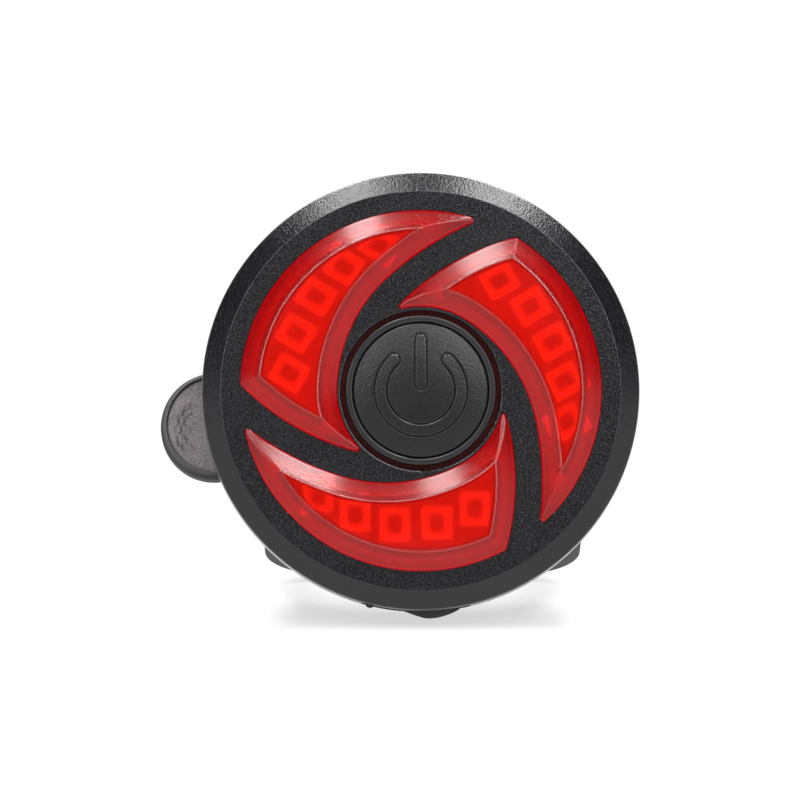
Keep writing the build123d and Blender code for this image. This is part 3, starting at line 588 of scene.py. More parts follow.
def rounded_path(points, radii, step=0.5):
    """Runs and arcs through a polyline, as evenly spaced points."""
    pts = [np.array(p, float) for p in points]
    out = [pts[0]]
    for i in range(1, len(pts) - 1):
        p, a, b = pts[i], pts[i - 1], pts[i + 1]
        u, v = (a - p) / np.linalg.norm(a - p), (b - p) / np.linalg.norm(b - p)
        half = math.acos(max(-1, min(1, float(u @ v)))) / 2
        r = radii[i - 1]
        t = r / math.tan(half)
        c = p + (u + v) / np.linalg.norm(u + v) * (r / math.sin(half))
        p0, p1 = p + u * t, p + v * t
        a0 = math.atan2(*(p0 - c)[::-1])
        a1 = math.atan2(*(p1 - c)[::-1])
        while a1 - a0 > math.pi:
            a1 -= TAU
        while a0 - a1 > math.pi:
            a1 += TAU
        m = max(2, int(abs(a1 - a0) * r / step))
        out += [c + r * np.array((math.cos(a0 + (a1 - a0) * k / m),
                                  math.sin(a0 + (a1 - a0) * k / m))) for k in range(m + 1)]
    out.append(pts[-1])
    full = [out[0]]
    for q in out[1:]:
        d = np.linalg.norm(q - full[-1])
        if d < 1e-6:
            continue
        m = max(1, int(round(d / step)))
        full += [full[-1] + (q - full[-1]) * k / m for k in range(1, m + 1)]
    return np.array(full)


def build_band():
    """The strap's band: rounded edges, hook slots and adjusting slots, tapered ends."""
    r = BEND_R
    path = rounded_path(
        [(-25.6, TAB_Y), (-HOOK_X, TAB_Y), (-HOOK_X, 8.0), (LOOP_LEFT, 24.0),
         (LOOP_LEFT, LOOP_Y), (LOOP_RIGHT, LOOP_Y), (LOOP_RIGHT, 24.0), (HOOK_X, 8.0),
         (HOOK_X, TAB_Y), (27.6, TAB_Y)],
        [r, 20.0, 20.0, LOOP_CORNER, LOOP_CORNER, 20.0, 20.0, r])
    tan = np.gradient(path, axis=0)
    tan /= np.linalg.norm(tan, axis=1)[:, None]
    nor = np.stack((-tan[:, 1], tan[:, 0]), 1)
    n = len(path)
    along_y = path[:, 1]
    front_end = (along_y < -2.2) | (np.abs(path[:, 0]) > 23.4) & (along_y < 0)
    # half width: the band is a little narrower at its front ends and swells at the hooks
    half = np.where(front_end, 7.3, 7.95)
    half = np.convolve(np.pad(half, 6, mode="edge"), np.ones(13) / 13, "valid")
    vs = np.array([-1, -0.94, -0.80, -0.5, -0.325, 0, 0.325, 0.5, 0.80, 0.94, 1.0])
    m = len(vs)

    def slotted(i, j):
        """Whether the cell between samples i, i+1 and widths j, j+1 is open."""
        p = (path[i] + path[i + 1]) / 2
        w = abs((vs[j] + vs[j + 1]) / 2)
        if w > 0.5:
            return False
        if -2.6 < p[1] < 2.6 and abs(p[0]) < 22.4:
            return True
        return p[0] < -19 and (8.0 < p[1] < 11.0 or 14.5 < p[1] < 17.5)

    verts, faces = [], []
    ids = {}

    def vert(i, j, side):
        key = (i, j, side)
        if key not in ids:
            w = vs[j] * half[i]
            t = STRAP_T / 2
            p = path[i] + nor[i] * t * side
            ids[key] = len(verts)
            verts.append(strap_place((p[0], p[1], w)))
        return ids[key]

    def solid(i, j):
        return 0 <= i < n - 1 and 0 <= j < m - 1 and not slotted(i, j)

    for i in range(n - 1):
        for j in range(m - 1):
            if not solid(i, j):
                continue
            for side in (1, -1):
                q = [vert(i, j, side), vert(i + 1, j, side), vert(i + 1, j + 1, side),
                     vert(i, j + 1, side)]
                faces.append(tuple(q if side > 0 else q[::-1]))
            for di, dj, e in ((-1, 0, ((i, j + 1), (i, j))), (1, 0, ((i + 1, j), (i + 1, j + 1))),
                              (0, -1, ((i, j), (i + 1, j))),
                              (0, 1, ((i + 1, j + 1), (i, j + 1)))):
                if not solid(i + di, j + dj):
                    (a, b), (c, d) = e
                    faces.append((vert(a, b, 1), vert(a, b, -1), vert(c, d, -1), vert(c, d, 1)))
    o = mesh_object("band", verts, faces, sharp_deg=40)
    return bevel(o, 0.55, 4, 50)


def crease_depth(x, z):
    """Soft creases in arcs near the tab's outer side."""
    a = math.atan2(z, x)
    side = smooth_step((-x - 0.8) / 2.4) * smooth_step((4.6 - abs(z + 0.2)) / 2.0)
    if side <= 0:
        return 0.0
    h = 0.0
    for rad, off, amp, wid in CREASES:
        q = math.hypot(x * 1.02 - 0.35, z * 0.80 + off * 0.4)
        wob = (0.20 * math.sin(a * 7 + off * 8) + 0.13 * math.sin(a * 17 + rad * 3)
               + 0.07 * math.sin(a * 41 + rad))
        gap = 0.55 + 0.45 * math.sin(a * 11 + rad * 5)
        h += amp * side * gap * math.exp(-((q - rad + wob) / wid) ** 2)
    return h


def build_tab():
    """The round pull tab: a rolled rim round a dished, wrinkled face."""
    n = 220
    ang = np.arange(n) * TAU / n
    verts, faces = [], []
    radii = list(np.linspace(0.15, 6.7, 58)) + list(np.linspace(6.78, 7.9, 15)) + [
        7.98, 8.06, 8.13, 8.19, 8.23, 8.25]
    t = TAB_T / 2
    rings = []

    def front_height(r, a):
        """Height of the front face above the tab's mid plane."""
        # the rim is wider at the tab's lower edge
        low = 0.5 - 0.5 * math.sin(a)
        inner = 7.40 - 0.50 * low
        if r <= inner:
            u = r / inner
            h = t - 0.52 + 0.16 * u * u
            x, z = r * math.cos(a), r * math.sin(a)
            return h - crease_depth(x, z)
        v = (r - inner) / (TAB_R - inner)
        if v < 0.22:
            w = smooth_step(v / 0.22)
            return (t - 0.36) + 0.36 * w
        w = (v - 0.22) / 0.78
        return t * (1 - 0.03 * w) - 0.55 * (1 - math.sqrt(max(0.0, 1 - max(0.0, (w - 0.35) / 0.65) ** 2)))

    for r in radii:
        rings.append(len(verts))
        for a in ang:
            h = front_height(r, a)
            verts.append((r * math.cos(a), -h, r * math.sin(a)))
    centre = len(verts)
    verts.append((0, -(t - 0.52), 0))
    for r, h in ((8.25, -0.5), (8.2, -0.85), (8.05, -1.08), (7.8, -t), (0.0, -t)):
        if r == 0:
            break
        rings.append(len(verts))
        for a in ang:
            verts.append((r * math.cos(a), -h, r * math.sin(a)))
    for i in range(n):
        faces.append((centre, rings[0] + (i + 1) % n, rings[0] + i))
    for a, b in zip(rings, rings[1:]):
        for i in range(n):
            j = (i + 1) % n
            faces.append((a + i, a + j, b + j, b + i))
    faces.append(tuple(range(rings[-1], rings[-1] + n)))
    verts = [strap_place((TAB_X + x, TAB_Y + y, z * TAB_TALL + TAB_UP)) for x, y, z in verts]
    return mesh_object("tab", verts, faces, sharp_deg=60)


def smooth_step(x):
    x = max(0.0, min(1.0, x))
    return x * x * (3 - 2 * x)


def union(a, b):
    """b joined to a as one closed surface."""
    m = a.modifiers.new("join", "BOOLEAN")
    m.operation = "UNION"
    m.solver = "EXACT"
    m.object = b
    evaluated(a)
    bpy.data.objects.remove(b)
    return a


def store_dish(o):
    """Keeps, at each vertex, whether it lies in the dish of the pull tab, and how deep a crease lies
    there, for the painted shade in the creases.
    """
    me = o.data
    co = np.empty(len(me.vertices) * 3)
    me.vertices.foreach_get("co", co)
    p = co.reshape(-1, 3) / MM
    c, s = math.cos(DROOP), math.sin(DROOP)
    dy, dz = p[:, 1] - AXIS_Y, p[:, 2] - ZR
    x, y, z = p[:, 0] - TAB_X, dy * c - dz * s - TAB_Y, (dy * s + dz * c - TAB_UP) / TAB_TALL
    r, a = np.hypot(x, z), np.arctan2(z, x)
    inner = 7.40 - 0.50 * (0.5 - 0.5 * np.sin(a))
    value = (y < -0.3) * smooth01((inner - 0.02 - r) / 0.16)
    layer = me.attributes.new("dish", "FLOAT", "POINT")
    layer.data.foreach_set("value", value.astype(np.float32))
    crease_shades = np.array([crease_depth(float(u), float(w)) if k > 0.5 else 0.0
                      for u, w, k in zip(x, z, value)]) / 0.10
    layer = me.attributes.new("crease_shade", "FLOAT", "POINT")
    layer.data.foreach_set("value", np.clip(crease_shades, 0, 1).astype(np.float32))


band = build_band()
tab = build_tab()
strap_vis = union(band, tab)
strap_vis.name = "strap_silicone"
for poly in strap_vis.data.polygons:
    poly.use_smooth = True
strap_vis.data.set_sharp_from_angle(angle=math.radians(45))
store_dish(strap_vis)
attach(strap_vis, "strap")
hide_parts("strap")

# ---------------------------------------------------------------- port cover
COVER_IN, COVER_OUT, COVER_D0, COVER_D1 = 31.8, 32.91, 3.85, 8.95
PIN_X, PIN_Z = -7.6, -31.75


def rounded_prism(name, loop_at, d0, d1, edge, steps=4):
    """A closed solid between two depths; loop_at(inset) gives its outline moved inwards."""
    verts, faces, rings = [], [], []
    rows = []
    for k in range(steps + 1):
        a = math.pi / 2 * k / steps
        rows.append((edge * (1 - math.sin(a)), d0 + edge * (1 - math.cos(a))))
    for k in range(steps + 1):
        a = math.pi / 2 * k / steps
        rows.append((edge * (1 - math.cos(a)), d1 - edge * (1 - math.sin(a))))
    for inset, d in rows:
        loop = loop_at(inset)
        rings.append(list(range(len(verts), len(verts) + len(loop))))
        verts += [(x, FACE_Y + d, z) for x, z in loop]
    n = len(rings[0])
    for a, b in zip(rings, rings[1:]):
        for i in range(n):
            faces.append((a[i], a[(i + 1) % n], b[(i + 1) % n], b[i]))
    faces.append(tuple(rings[0][::-1]))
    faces.append(tuple(rings[-1]))
    return mesh_object(name, verts, faces, sharp_deg=50)


def cover_outline(inset):
    """The cover's band seen from the front: two arcs with round ends."""
    r0, r1 = COVER_IN + min(inset, 0.3), COVER_OUT - inset
    a0, a1 = math.radians(-90 - 12.2), math.radians(-90 + 12.4)
    shift = inset / 32.4
    a0, a1 = a0 + shift, a1 - shift
    pts = [(r1 * math.cos(a0 + (a1 - a0) * k / 48), r1 * math.sin(a0 + (a1 - a0) * k / 48))
           for k in range(49)]
    pts += [(r0 * math.cos(a1 + (a0 - a1) * k / 48), r0 * math.sin(a1 + (a0 - a1) * k / 48))
            for k in range(49)]
    return pts


def build_lip():
    """The finger lip: low at its left third, rising to nothing at its right end."""
    verts, faces, rings = [], [], []
    xs = list(np.linspace(-3.1, 5.85, 61))
    at = (-3.1, -2.2, -1.26, -0.6, -0.05, 0.5, 1.0, 1.6, 2.4, 3.1, 3.9, 4.6, 5.25, 5.85)
    lows = (-32.80, -33.12, -33.47, -33.68, -33.85, -34.01, -34.08, -34.08, -34.0, -33.84,
            -33.60, -33.34, -33.06, -32.72)
    for x in xs:
        low = float(np.interp(x, at, lows))
        top = -32.35
        low = min(low, top - 0.12)
        ring = []
        for k in range(28):
            a = TAU * k / 28
            c, sn = math.cos(a), math.sin(a)
            # a rounded section, thinner at the bottom
            z = (top + low) / 2 + (top - low) / 2 * math.copysign(abs(sn) ** 0.55, sn)
            f = (top - z) / (top + 34.1)
            half = 0.85 - 0.30 * f
            y = half * math.copysign(abs(c) ** 0.55, c)
            ring.append(len(verts))
            verts.append((x, FACE_Y + 7.9 + 0.1 * f + y, z))
        rings.append(ring)
    for a, b in zip(rings, rings[1:]):
        for i in range(28):
            j = (i + 1) % 28
            faces.append((a[i], a[j], b[j], b[i]))
    faces.append(tuple(rings[0][::-1]))
    faces.append(tuple(rings[-1]))
    return mesh_object("lip", verts, faces, sharp_deg=60)


def build_plug():
    """The plug in the socket's mouth, with a lead-in and a sealing bead."""
    verts, faces, rings = [], [], []
    for grow, z in ((0.0, -32.05), (0.0, -31.75), (0.0, -31.45), (-0.10, -31.32), (-0.10, -31.1),
                    (0.0, -30.97), (0.0, -30.8), (-0.10, -30.66), (-0.10, -30.45),
                    (-0.22, -30.2), (-0.45, -30.03)):
        ring = []
        for k in range(48):
            a = TAU * k / 48
            c, sn = math.cos(a), math.sin(a)
            r = 1.15 + grow
            ring.append(len(verts))
            verts.append((0.15 + math.copysign(2.5, c) * (abs(c) > 1e-9) + r * c,
                          FACE_Y + 6.6 + r * sn, z))
        rings.append(ring)
    for a, b in zip(rings, rings[1:]):
        for i in range(48):
            j = (i + 1) % 48
            faces.append((a[i], a[j], b[j], b[i]))
    faces.append(tuple(rings[0][::-1]))
    faces.append(tuple(rings[-1]))
    return mesh_object("plug", verts, faces, sharp_deg=50)


cover_vis = rounded_prism("port_flap", cover_outline, COVER_D0, COVER_D1, 0.28)
cover_vis = union(cover_vis, rounded_prism(
    "pin", lambda inset: [(PIN_X + (0.75 - inset) * math.cos(TAU * k / 36),
                           PIN_Z + (0.75 - inset) * math.sin(TAU * k / 36)) for k in range(36)],
    COVER_D0, COVER_D1, 0.15))
cover_vis = union(cover_vis, build_plug())
cover_vis = union(cover_vis, build_lip())
for poly in cover_vis.data.polygons:
    poly.use_smooth = True
cover_vis.data.set_sharp_from_angle(angle=math.radians(50))
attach(cover_vis, "port_cover")
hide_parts("port_cover")

# ---------------------------------------------------------------- saddle pad
POST_R, PAD_T, PAD_H, PAD_ARC = 15.8, 1.8, 30.0, math.radians(61.0)


def build_pad():
    """The silicone pad: a curved sheet with grip ribs on its bearing face and soft edges."""
    edge = 0.55
    span_u = PAD_ARC * 2 * POST_R

    def marks(length):
        near = [0, 0.05, 0.14, 0.27, 0.41, 0.55]
        mid = list(np.arange(0.80, length - 0.79, 0.25))
        return near + mid + [length - q for q in near[::-1]]

    us, zs = marks(span_u), marks(PAD_H)

    def inner_depth(u, z):
        """How far behind the bearing face the surface lies."""
        e = min(u, span_u - u, z, PAD_H - z)
        soft = edge - math.sqrt(max(0.0, edge ** 2 - (edge - min(e, edge)) ** 2))
        ends = smooth_step((min(u, span_u - u) - 2.0) / 0.7)
        # the ribs run across the post, three millimetres apart
        w = (z - 1.5) % 3.0
        groove = smooth_step((0.55 - abs(w - 1.5)) / 0.35) * (1.6 < z < PAD_H - 1.6)
        return soft + 0.45 * groove * ends

    verts, faces = [], []
    nu, nz = len(us), len(zs)
    for side in (0, 1):
        for z in zs:
            for u in us:
                a = -PAD_ARC + u / POST_R
                if side == 0:
                    r = POST_R + inner_depth(u, z)
                else:
                    r = POST_R + PAD_T
                verts.append((r * math.sin(a), -r * math.cos(a), ZR - PAD_H / 2 + z))

    def at(side, i, j):
        return side * nu * nz + j * nu + i

    for side in (0, 1):
        for j in range(nz - 1):
            for i in range(nu - 1):
                q = [at(side, i, j), at(side, i + 1, j), at(side, i + 1, j + 1),
                     at(side, i, j + 1)]
                faces.append(tuple(q if side else q[::-1]))
    for i in range(nu - 1):
        for j in (0, nz - 1):
            q = [at(0, i, j), at(0, i + 1, j), at(1, i + 1, j), at(1, i, j)]
            faces.append(tuple(q if j == 0 else q[::-1]))
    for j in range(nz - 1):
        for i in (0, nu - 1):
            q = [at(0, i, j), at(1, i, j), at(1, i, j + 1), at(0, i, j + 1)]
            faces.append(tuple(q if i == 0 else q[::-1]))
    return mesh_object("pad_ribbed", verts, faces, sharp_deg=50)


pad_vis = build_pad()
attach(pad_vis, "housing")
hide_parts("saddle_pad")

# ---------------------------------------------------------------- materials
charcoal = moulded("charcoal_face", (0.0026, 0.0024, 0.0034), 0.11, 0.215, 4.4, 0.050, 0.40, 0.05,
                   0.52)
# painted highlight: the chamfer's outer edge is painted a little lighter, standing in for the thin line
# of light that its rounded edge catches
cx, cy, cz = charcoal.xyz()
reach = charcoal.math("SQRT", charcoal.math("ADD", charcoal.math("POWER", cx, 2.0),
                                            charcoal.math("POWER", cz, 2.0)))
painted_edge_highlight = charcoal.math("MULTIPLY", charcoal.span(reach, 32.58, 32.70),
                     charcoal.span(cy, FACE_Y + 2.1, FACE_Y + 2.6, 1.0, 0.0))
painted_edge_highlight = charcoal.math("MULTIPLY", painted_edge_highlight, charcoal.span(charcoal.noise(0.7, 3.0), 0.30, 0.55, 0.6, 1.0))
base_link = charcoal.b.inputs["Base Color"].links[0].from_socket
# spark-eroded grain, with painted glints: paler specks on the flat face stand in for the glints that its
# grain catches
zone = charcoal.span(reach, 29.5, 29.9, 1.0, 0.25)
grainy = charcoal.noise(3.3, 2.0, 0.6)
painted_glints = charcoal.math("MULTIPLY", charcoal.span(grainy, 0.46, 0.62), zone)
painted_glint_colour = charcoal.mix(charcoal.math("MULTIPLY", painted_glints, 0.9), base_link, (0.0175, 0.0165, 0.0192, 1))
charcoal.color(charcoal.mix(painted_edge_highlight, painted_glint_colour, (0.045, 0.043, 0.042, 1)))
charcoal.bump(grainy, 0.062, 1.0, charcoal.rounded(0.05))
black_abs = moulded("black_casing", (0.020, 0.020, 0.022), 0.16, 0.5, 3.0, 0.014, 0.2, 0.14)
collar_m = moulded("collar_black", (0.013, 0.013, 0.014), 0.08, 0.3, 4.0, 0.008, 0.15, 0.04)
nylon = moulded("saddle_nylon", (0.022, 0.022, 0.024), 0.14, 0.48, 2.4, 0.014, 0.2, 0.2)
silicone = moulded("silicone", (0.060, 0.056, 0.053), 0.12, 0.62, 1.8, 0.010, 0.25, 0.0)
# the strap's silicone: a dusty, stippled grey in the tab's dish, smoother and darker around, with painted
# shade in the creases of the dish
strap_m = Mat("strap_silicone")
dish = strap_m.node("ShaderNodeAttribute", attribute_name="dish").outputs["Fac"]
crease_shade = strap_m.node("ShaderNodeAttribute", attribute_name="crease_shade").outputs["Fac"]
stipple = strap_m.voronoi(2.3)
dust = strap_m.noise(0.35, 4.0, 0.6)
mottle = strap_m.noise(4.2, 2.0, 0.65)
smooth_tone = strap_m.ramp(dust, [(0.3, (0.018, 0.0175, 0.0175, 1)), (0.7, (0.028, 0.027, 0.0265, 1))])
dish_tone = strap_m.ramp(strap_m.math("ADD", strap_m.math("MULTIPLY", mottle, 0.7),
                                      strap_m.math("MULTIPLY", dust, 0.3)),
                         [(0.36, (0.058, 0.050, 0.053, 1)), (0.5, (0.118, 0.103, 0.107, 1)),
                          (0.64, (0.185, 0.163, 0.168, 1))])
# painted shade: the creases in the tab's dish are painted dark
crease_shaded = strap_m.mix(strap_m.math("MULTIPLY", crease_shade, 0.85), dish_tone, (0.020, 0.018, 0.019, 1))
strap_m.color(strap_m.mix(dish, smooth_tone, crease_shaded))
strap_m.rough(strap_m.math("ADD", strap_m.math("MULTIPLY", dish, 0.18),
                           strap_m.math("MULTIPLY_ADD", dust, 0.12, 0.50), clamp=True))
strap_m.bump(strap_m.math("ADD", strap_m.math("MULTIPLY", strap_m.math("MULTIPLY", stipple, dish), 1.0),
                          strap_m.math("MULTIPLY", mottle, 0.25)), 0.05)
button_m = moulded("button_satin", (0.0036, 0.0036, 0.0043), 0.14, 0.33, 3.4, 0.040, 0.2, 0.0,
                   0.46)
# LED packages: a white body, and a resin window in its recess; the unlit packages are given a faint
# painted glow
led_m = Mat("led_package")
_, led_y, _ = led_m.xyz()
led_tone = led_m.noise(1.6, 3.0)
window = led_m.math("MULTIPLY", led_m.span(led_y, FACE_Y + 5.36, FACE_Y + 5.44),
                    led_m.span(led_y, FACE_Y + 5.54, FACE_Y + 5.62, 1.0, 0.0))
led_m.color(led_m.mix(window, (0.86, 0.84, 0.78, 1),
                      led_m.ramp(led_tone, [(0.35, (0.36, 0.22, 0.08, 1)),
                                            (0.65, (0.52, 0.34, 0.12, 1))])))
# painted light: a faint warm glow on the packages, standing in for light that reaches them through the
# lens
led_m.set(Emission_Color=(1.0, 0.72, 0.42, 1))
led_m.link(led_m.math("MULTIPLY_ADD", window, -0.16, 0.27), led_m.b.inputs["Emission Strength"])
led_m.rough(led_m.math("MULTIPLY_ADD", led_tone, 0.3, 0.2))
led_m.bump(led_tone, 0.02)
port_m = moulded("port_rubber", (0.017, 0.0158, 0.0150), 0.12, 0.58, 2.4, 0.012, 0.3, 0.0)
white_mask = moulded("board_mask", (0.78, 0.79, 0.78), 0.1, 0.35, 2.0, 0.004, 0.05, 0.0)
# painted light: a faint warm glow on the board, standing in for light that reaches it through the lens
white_mask.set(Emission_Color=(1.0, 0.72, 0.42, 1), Emission_Strength=0.26)
chip_m = moulded("chip_epoxy", (0.02, 0.02, 0.022), 0.1, 0.5, 4.0, 0.01, 0.2, 0.05)
steel_m = moulded("zinc_steel", (0.5, 0.5, 0.51), 0.2, 0.35, 5.0, 0.004, 0.15, 0.05)
steel_m.set(Metallic=1.0)
nickel_m = moulded("nickel", (0.58, 0.56, 0.52), 0.15, 0.28, 4.0, 0.003, 0.1, 0.05)
nickel_m.set(Metallic=1.0)
pouch_m = moulded("foil_pouch", (0.62, 0.63, 0.65), 0.2, 0.35, 1.2, 0.03, 0.08, 0.1)
pouch_m.set(Metallic=1.0)
tape_m = moulded("amber_tape", (0.5, 0.26, 0.04), 0.15, 0.35, 2.0, 0.01, 0.15, 0.05)
foam_m = moulded("grey_foam", (0.10, 0.10, 0.105), 0.1, 0.85, 2.2, 0.12, 0.3, 0.1)
wire_m = moulded("wire_sleeve", (0.42, 0.015, 0.015), 0.1, 0.4, 2.0, 0.005, 0.1, 0.0)



# strength of the painted glow on the blades' rims
PAINTED_RIM_GLOW = 0.17


def lens_material(name, transmission, stops, rough, depth, coat=0.0):
    """Clear red plastic: the red deepens towards a blade's outline, where the light has further to go
    through it and partly as painted shade in the gap round the blade; fine grain and a slow ripple in its
    polish."""
    m = Mat(name)
    m.set(IOR=1.35)
    inset = m.node("ShaderNodeAttribute", attribute_name="inset").outputs["Fac"]
    at = m.math("MULTIPLY_ADD", inset, 0.1, 0.2)
    fine = m.noise(3.4, 2.0, 0.6)
    wave = m.noise(0.35, 2.0, 0.4)
    tone = m.math("MULTIPLY_ADD", m.noise(2.2, 3.0, 0.6), 0.02, -0.01)
    m.color(m.ramp(m.math("ADD", at, tone), [(0.2 + o * 0.1, (*c, 1)) for o, c in stops]))
    m.link(m.span(inset, -0.4, -0.1, 0.25, transmission), m.b.inputs["Transmission Weight"])
    flat = m.span(inset, 2.7, 3.1)
    m.rough(m.math("MULTIPLY_ADD", flat, -(rough[0] - rough[1]), rough[0], clamp=True))
    m.bump(m.math("ADD", m.math("MULTIPLY", fine, 0.4), m.math("MULTIPLY", wave, 0.3)), depth)
    if coat:
        # painted glow: the small upright rim of each blade glows, standing in for light that the clear
        # plate pipes to it
        rim = m.math("MULTIPLY", m.span(inset, -0.16, -0.02), m.span(inset, 0.22, 0.46, 1.0, 0.0))
        m.set(Emission_Color=(1.0, 0.0, 0.012, 1))
        m.link(m.math("MULTIPLY", rim, PAINTED_RIM_GLOW), m.b.inputs["Emission Strength"])
        # the moulded skin over the clear body: its grain breaks up the lamps' reflections
        m.set(**{"Coat IOR": 1.5, "Coat Roughness": 0.14})
        ridge = m.math("MULTIPLY", m.span(inset, 2.62, 2.74), m.span(inset, 2.98, 3.06, 1.0, 0.0))
        m.link(m.math("ADD", m.math("MULTIPLY_ADD", rim, -0.14, 0.20),
                      m.math("MULTIPLY", ridge, 0.65)), m.b.inputs["Coat Weight"])
        skin = m.node("ShaderNodeBump")
        skin.inputs["Distance"].default_value = coat * MM
        m.link(m.math("MULTIPLY", fine, m.math("MULTIPLY_ADD", flat, -0.75, 1.0)),
               skin.inputs["Height"])
        m.link(skin.outputs[0], m.b.inputs["Coat Normal"])
    return m


red = lens_material(
    "red_lens", 0.88,
    # painted shade: the stops below zero inset paint the plate dark where it lies over dark parts, and
    # the darkest stop at the outline is partly painted shade of the gap round each blade
    [(-1.0, (0.055, 0.010, 0.010)), (-0.1, (0.055, 0.008, 0.008)),
     (0.05, (0.26, 0.001, 0.002)), (0.30, (0.50, 0.0006, 0.0012)), (0.60, (0.56, 0.0008, 0.0014)),
     (1.4, (0.72, 0.001, 0.0015)), (2.2, (0.85, 0.003, 0.003)), (2.9, (0.97, 0.011, 0.007)),
     (3.2, (0.97, 0.015, 0.006))],
    (0.16, 0.15), 0.007, 0.080)
red_in = lens_material(
    "red_lens_inside", 1.0,
    # painted shade: the inside is painted dark in a band just inside each blade's ridge, inset 2.78 to
    # 3.15, standing in for the shade behind the ridge
    [(0.0, (0.85, 0.012, 0.008)), (1.6, (0.90, 0.014, 0.008)), (2.6, (0.96, 0.03, 0.014)),
     (2.78, (0.42, 0.008, 0.005)), (3.15, (0.48, 0.010, 0.005)), (3.45, (0.98, 0.06, 0.02))],
    (0.50, 0.32), 0.014)
lens_vis.data.materials.append(red.m)
lens_vis.data.materials.append(red_in.m)
button_vis.data.materials.append(button_m.m)
cover_vis.data.materials.clear()
cover_vis.data.materials.append(port_m.m)
pad_vis.data.materials.append(silicone.m)
strap_vis.data.materials.clear()
strap_vis.data.materials.append(strap_m.m)

# the tray: painted light and shade: the cells are painted white with a faint glow, standing in for the
# light that reaches them through the lens, and the web between them is painted darker as shade
tray = Mat("led_tray")
_, ty, _ = tray.xyz()
painted_cell_light = tray.span(ty, FACE_Y + 3.32, FACE_Y + 3.9)
tray_tone = tray.noise(1.2, 3.0)
tray.color(tray.mix(painted_cell_light, tray.ramp(tray_tone, [(0.3, (0.40, 0.32, 0.28, 1)),
                                                   (0.7, (0.48, 0.40, 0.34, 1))]),
                    tray.ramp(tray_tone, [(0.3, (0.84, 0.82, 0.78, 1)),
                                          (0.7, (0.90, 0.88, 0.84, 1))])))
tray.rough(tray.grey(tray_tone, [(0.3, 0.35), (0.7, 0.5)]))
tray.set(Emission_Color=(1.0, 0.72, 0.42, 1))
tray.link(tray.math("MULTIPLY_ADD", painted_cell_light, 0.12, 0.15), tray.b.inputs["Emission Strength"])
tray.bump(tray.noise(3.0, 2.0), 0.006)
white_tray = tray

for node, mat in {
    "front_bezel": charcoal, "rear_shell": black_abs, "button_collar": collar_m,
    "button_cap": button_m, "button_seal": silicone, "switch_body": black_abs,
    "switch_stem": black_abs, "led_frame": white_tray, "leds": led_m,
    "led_board": white_mask, "board_chips": chip_m, "board_screws": steel_m,
    "usb_shell": nickel_m, "usb_tongue": chip_m, "housing_seal": silicone,
    "housing_screws": steel_m, "battery": pouch_m, "battery_board": tape_m,
    "battery_foam": foam_m, "battery_wires": wire_m, "bracket": nylon,
    "bracket_screws": steel_m, "saddle_pad": silicone, "port_cover": port_m,
    "strap": strap_m,
}.items():
    give(node, mat.m)

# ---------------------------------------------------------------- floor, light, camera
FLOOR_TILT = math.radians(8.0)
FLOOR_Y, FLOOR_Z = -32.0, -34.9


def floor_z(y):
    return FLOOR_Z + (y - FLOOR_Y) * math.tan(FLOOR_TILT)


def build_floor():
    verts, faces = [], []
    n = 40
    for j in range(n + 1):
        for i in range(n + 1):
            x = -1200 + 2400 * i / n
            y = -1200 + 2400 * j / n
            verts.append((x, y, floor_z(y)))
    for j in range(n):
        for i in range(n):
            a = j * (n + 1) + i
            faces.append((a, a + 1, a + n + 2, a + n + 1))
    return mesh_object("studio_floor", verts, faces)


floor = build_floor()
floor_m = Mat("studio_white")
floor_m.color(floor_m.ramp(floor_m.noise(0.02, 2.0), [(0.3, (0.60, 0.60, 0.60, 1)),
                                                     (0.7, (0.62, 0.62, 0.62, 1))]))
floor_m.set(Roughness=0.7, Specular_IOR_Level=0.2)
fx, fy, fz = floor_m.xyz()
far = floor_m.math("SQRT", floor_m.math("ADD", floor_m.math("POWER", fx, 2.0),
                                        floor_m.math("POWER", fy, 2.0)))
glow = floor_m.node("ShaderNodeEmission")
glow.inputs[0].default_value = (1, 1, 1, 1)
glow.inputs[1].default_value = 1.03
sweep = floor_m.node("ShaderNodeMixShader")
side = floor_m.math("ABSOLUTE", floor_m.math("ADD", fx, -0.2))
floor_m.link(floor_m.math("MAXIMUM", floor_m.span(far, 60.0, 190.0, 0.60, 1.0),
                          floor_m.span(side, 19.0, 25.0, 0.60, 1.0)), sweep.inputs[0])
floor_m.link(floor_m.b.outputs[0], sweep.inputs[1])
floor_m.link(glow.outputs[0], sweep.inputs[2])
floor_m.link(sweep.outputs[0], floor_m.out.inputs[0])
floor.data.materials.append(floor_m.m)


def softbox(name, where, aim, size_x, size_y, radiance, up=(0, 0, 1), color=(1, 1, 1)):
    """A rectangular lamp at where that faces aim; its length size_y lies along up."""
    light = bpy.data.lights.new(name, "AREA")
    light.shape = "RECTANGLE"
    light.size, light.size_y = size_x, size_y
    light.energy = radiance * math.pi * size_x * size_y
    light.color = color
    o = bpy.data.objects.new(name, light)
    o.location = where
    o.rotation_mode = "QUATERNION"
    z = (Vector(where) - Vector(aim)).normalized()
    y = (Vector(up) - Vector(up).dot(z) * z).normalized()
    o.rotation_quaternion = Matrix((y.cross(z), y, z)).transposed().to_quaternion()
    bpy.context.scene.collection.objects.link(o)
    return o


softbox("top_right_strip", (0.173, -0.060, 0.460), (0, -0.03, 0), 0.088, 0.60, 22.0,
        up=(0, 1, 0))
softbox("top_left_strip", (-0.150, -0.060, 0.460), (0, -0.03, 0), 0.088, 0.60, 20.0,
        up=(0, 1, 0))
softbox("front_right", (0.165, -0.510, 0.200), (0, -0.03, 0), 0.12, 0.14, 7.2)
softbox("front_left", (-0.180, -0.520, 0.170), (0, -0.03, 0), 0.12, 0.14, 3.0)

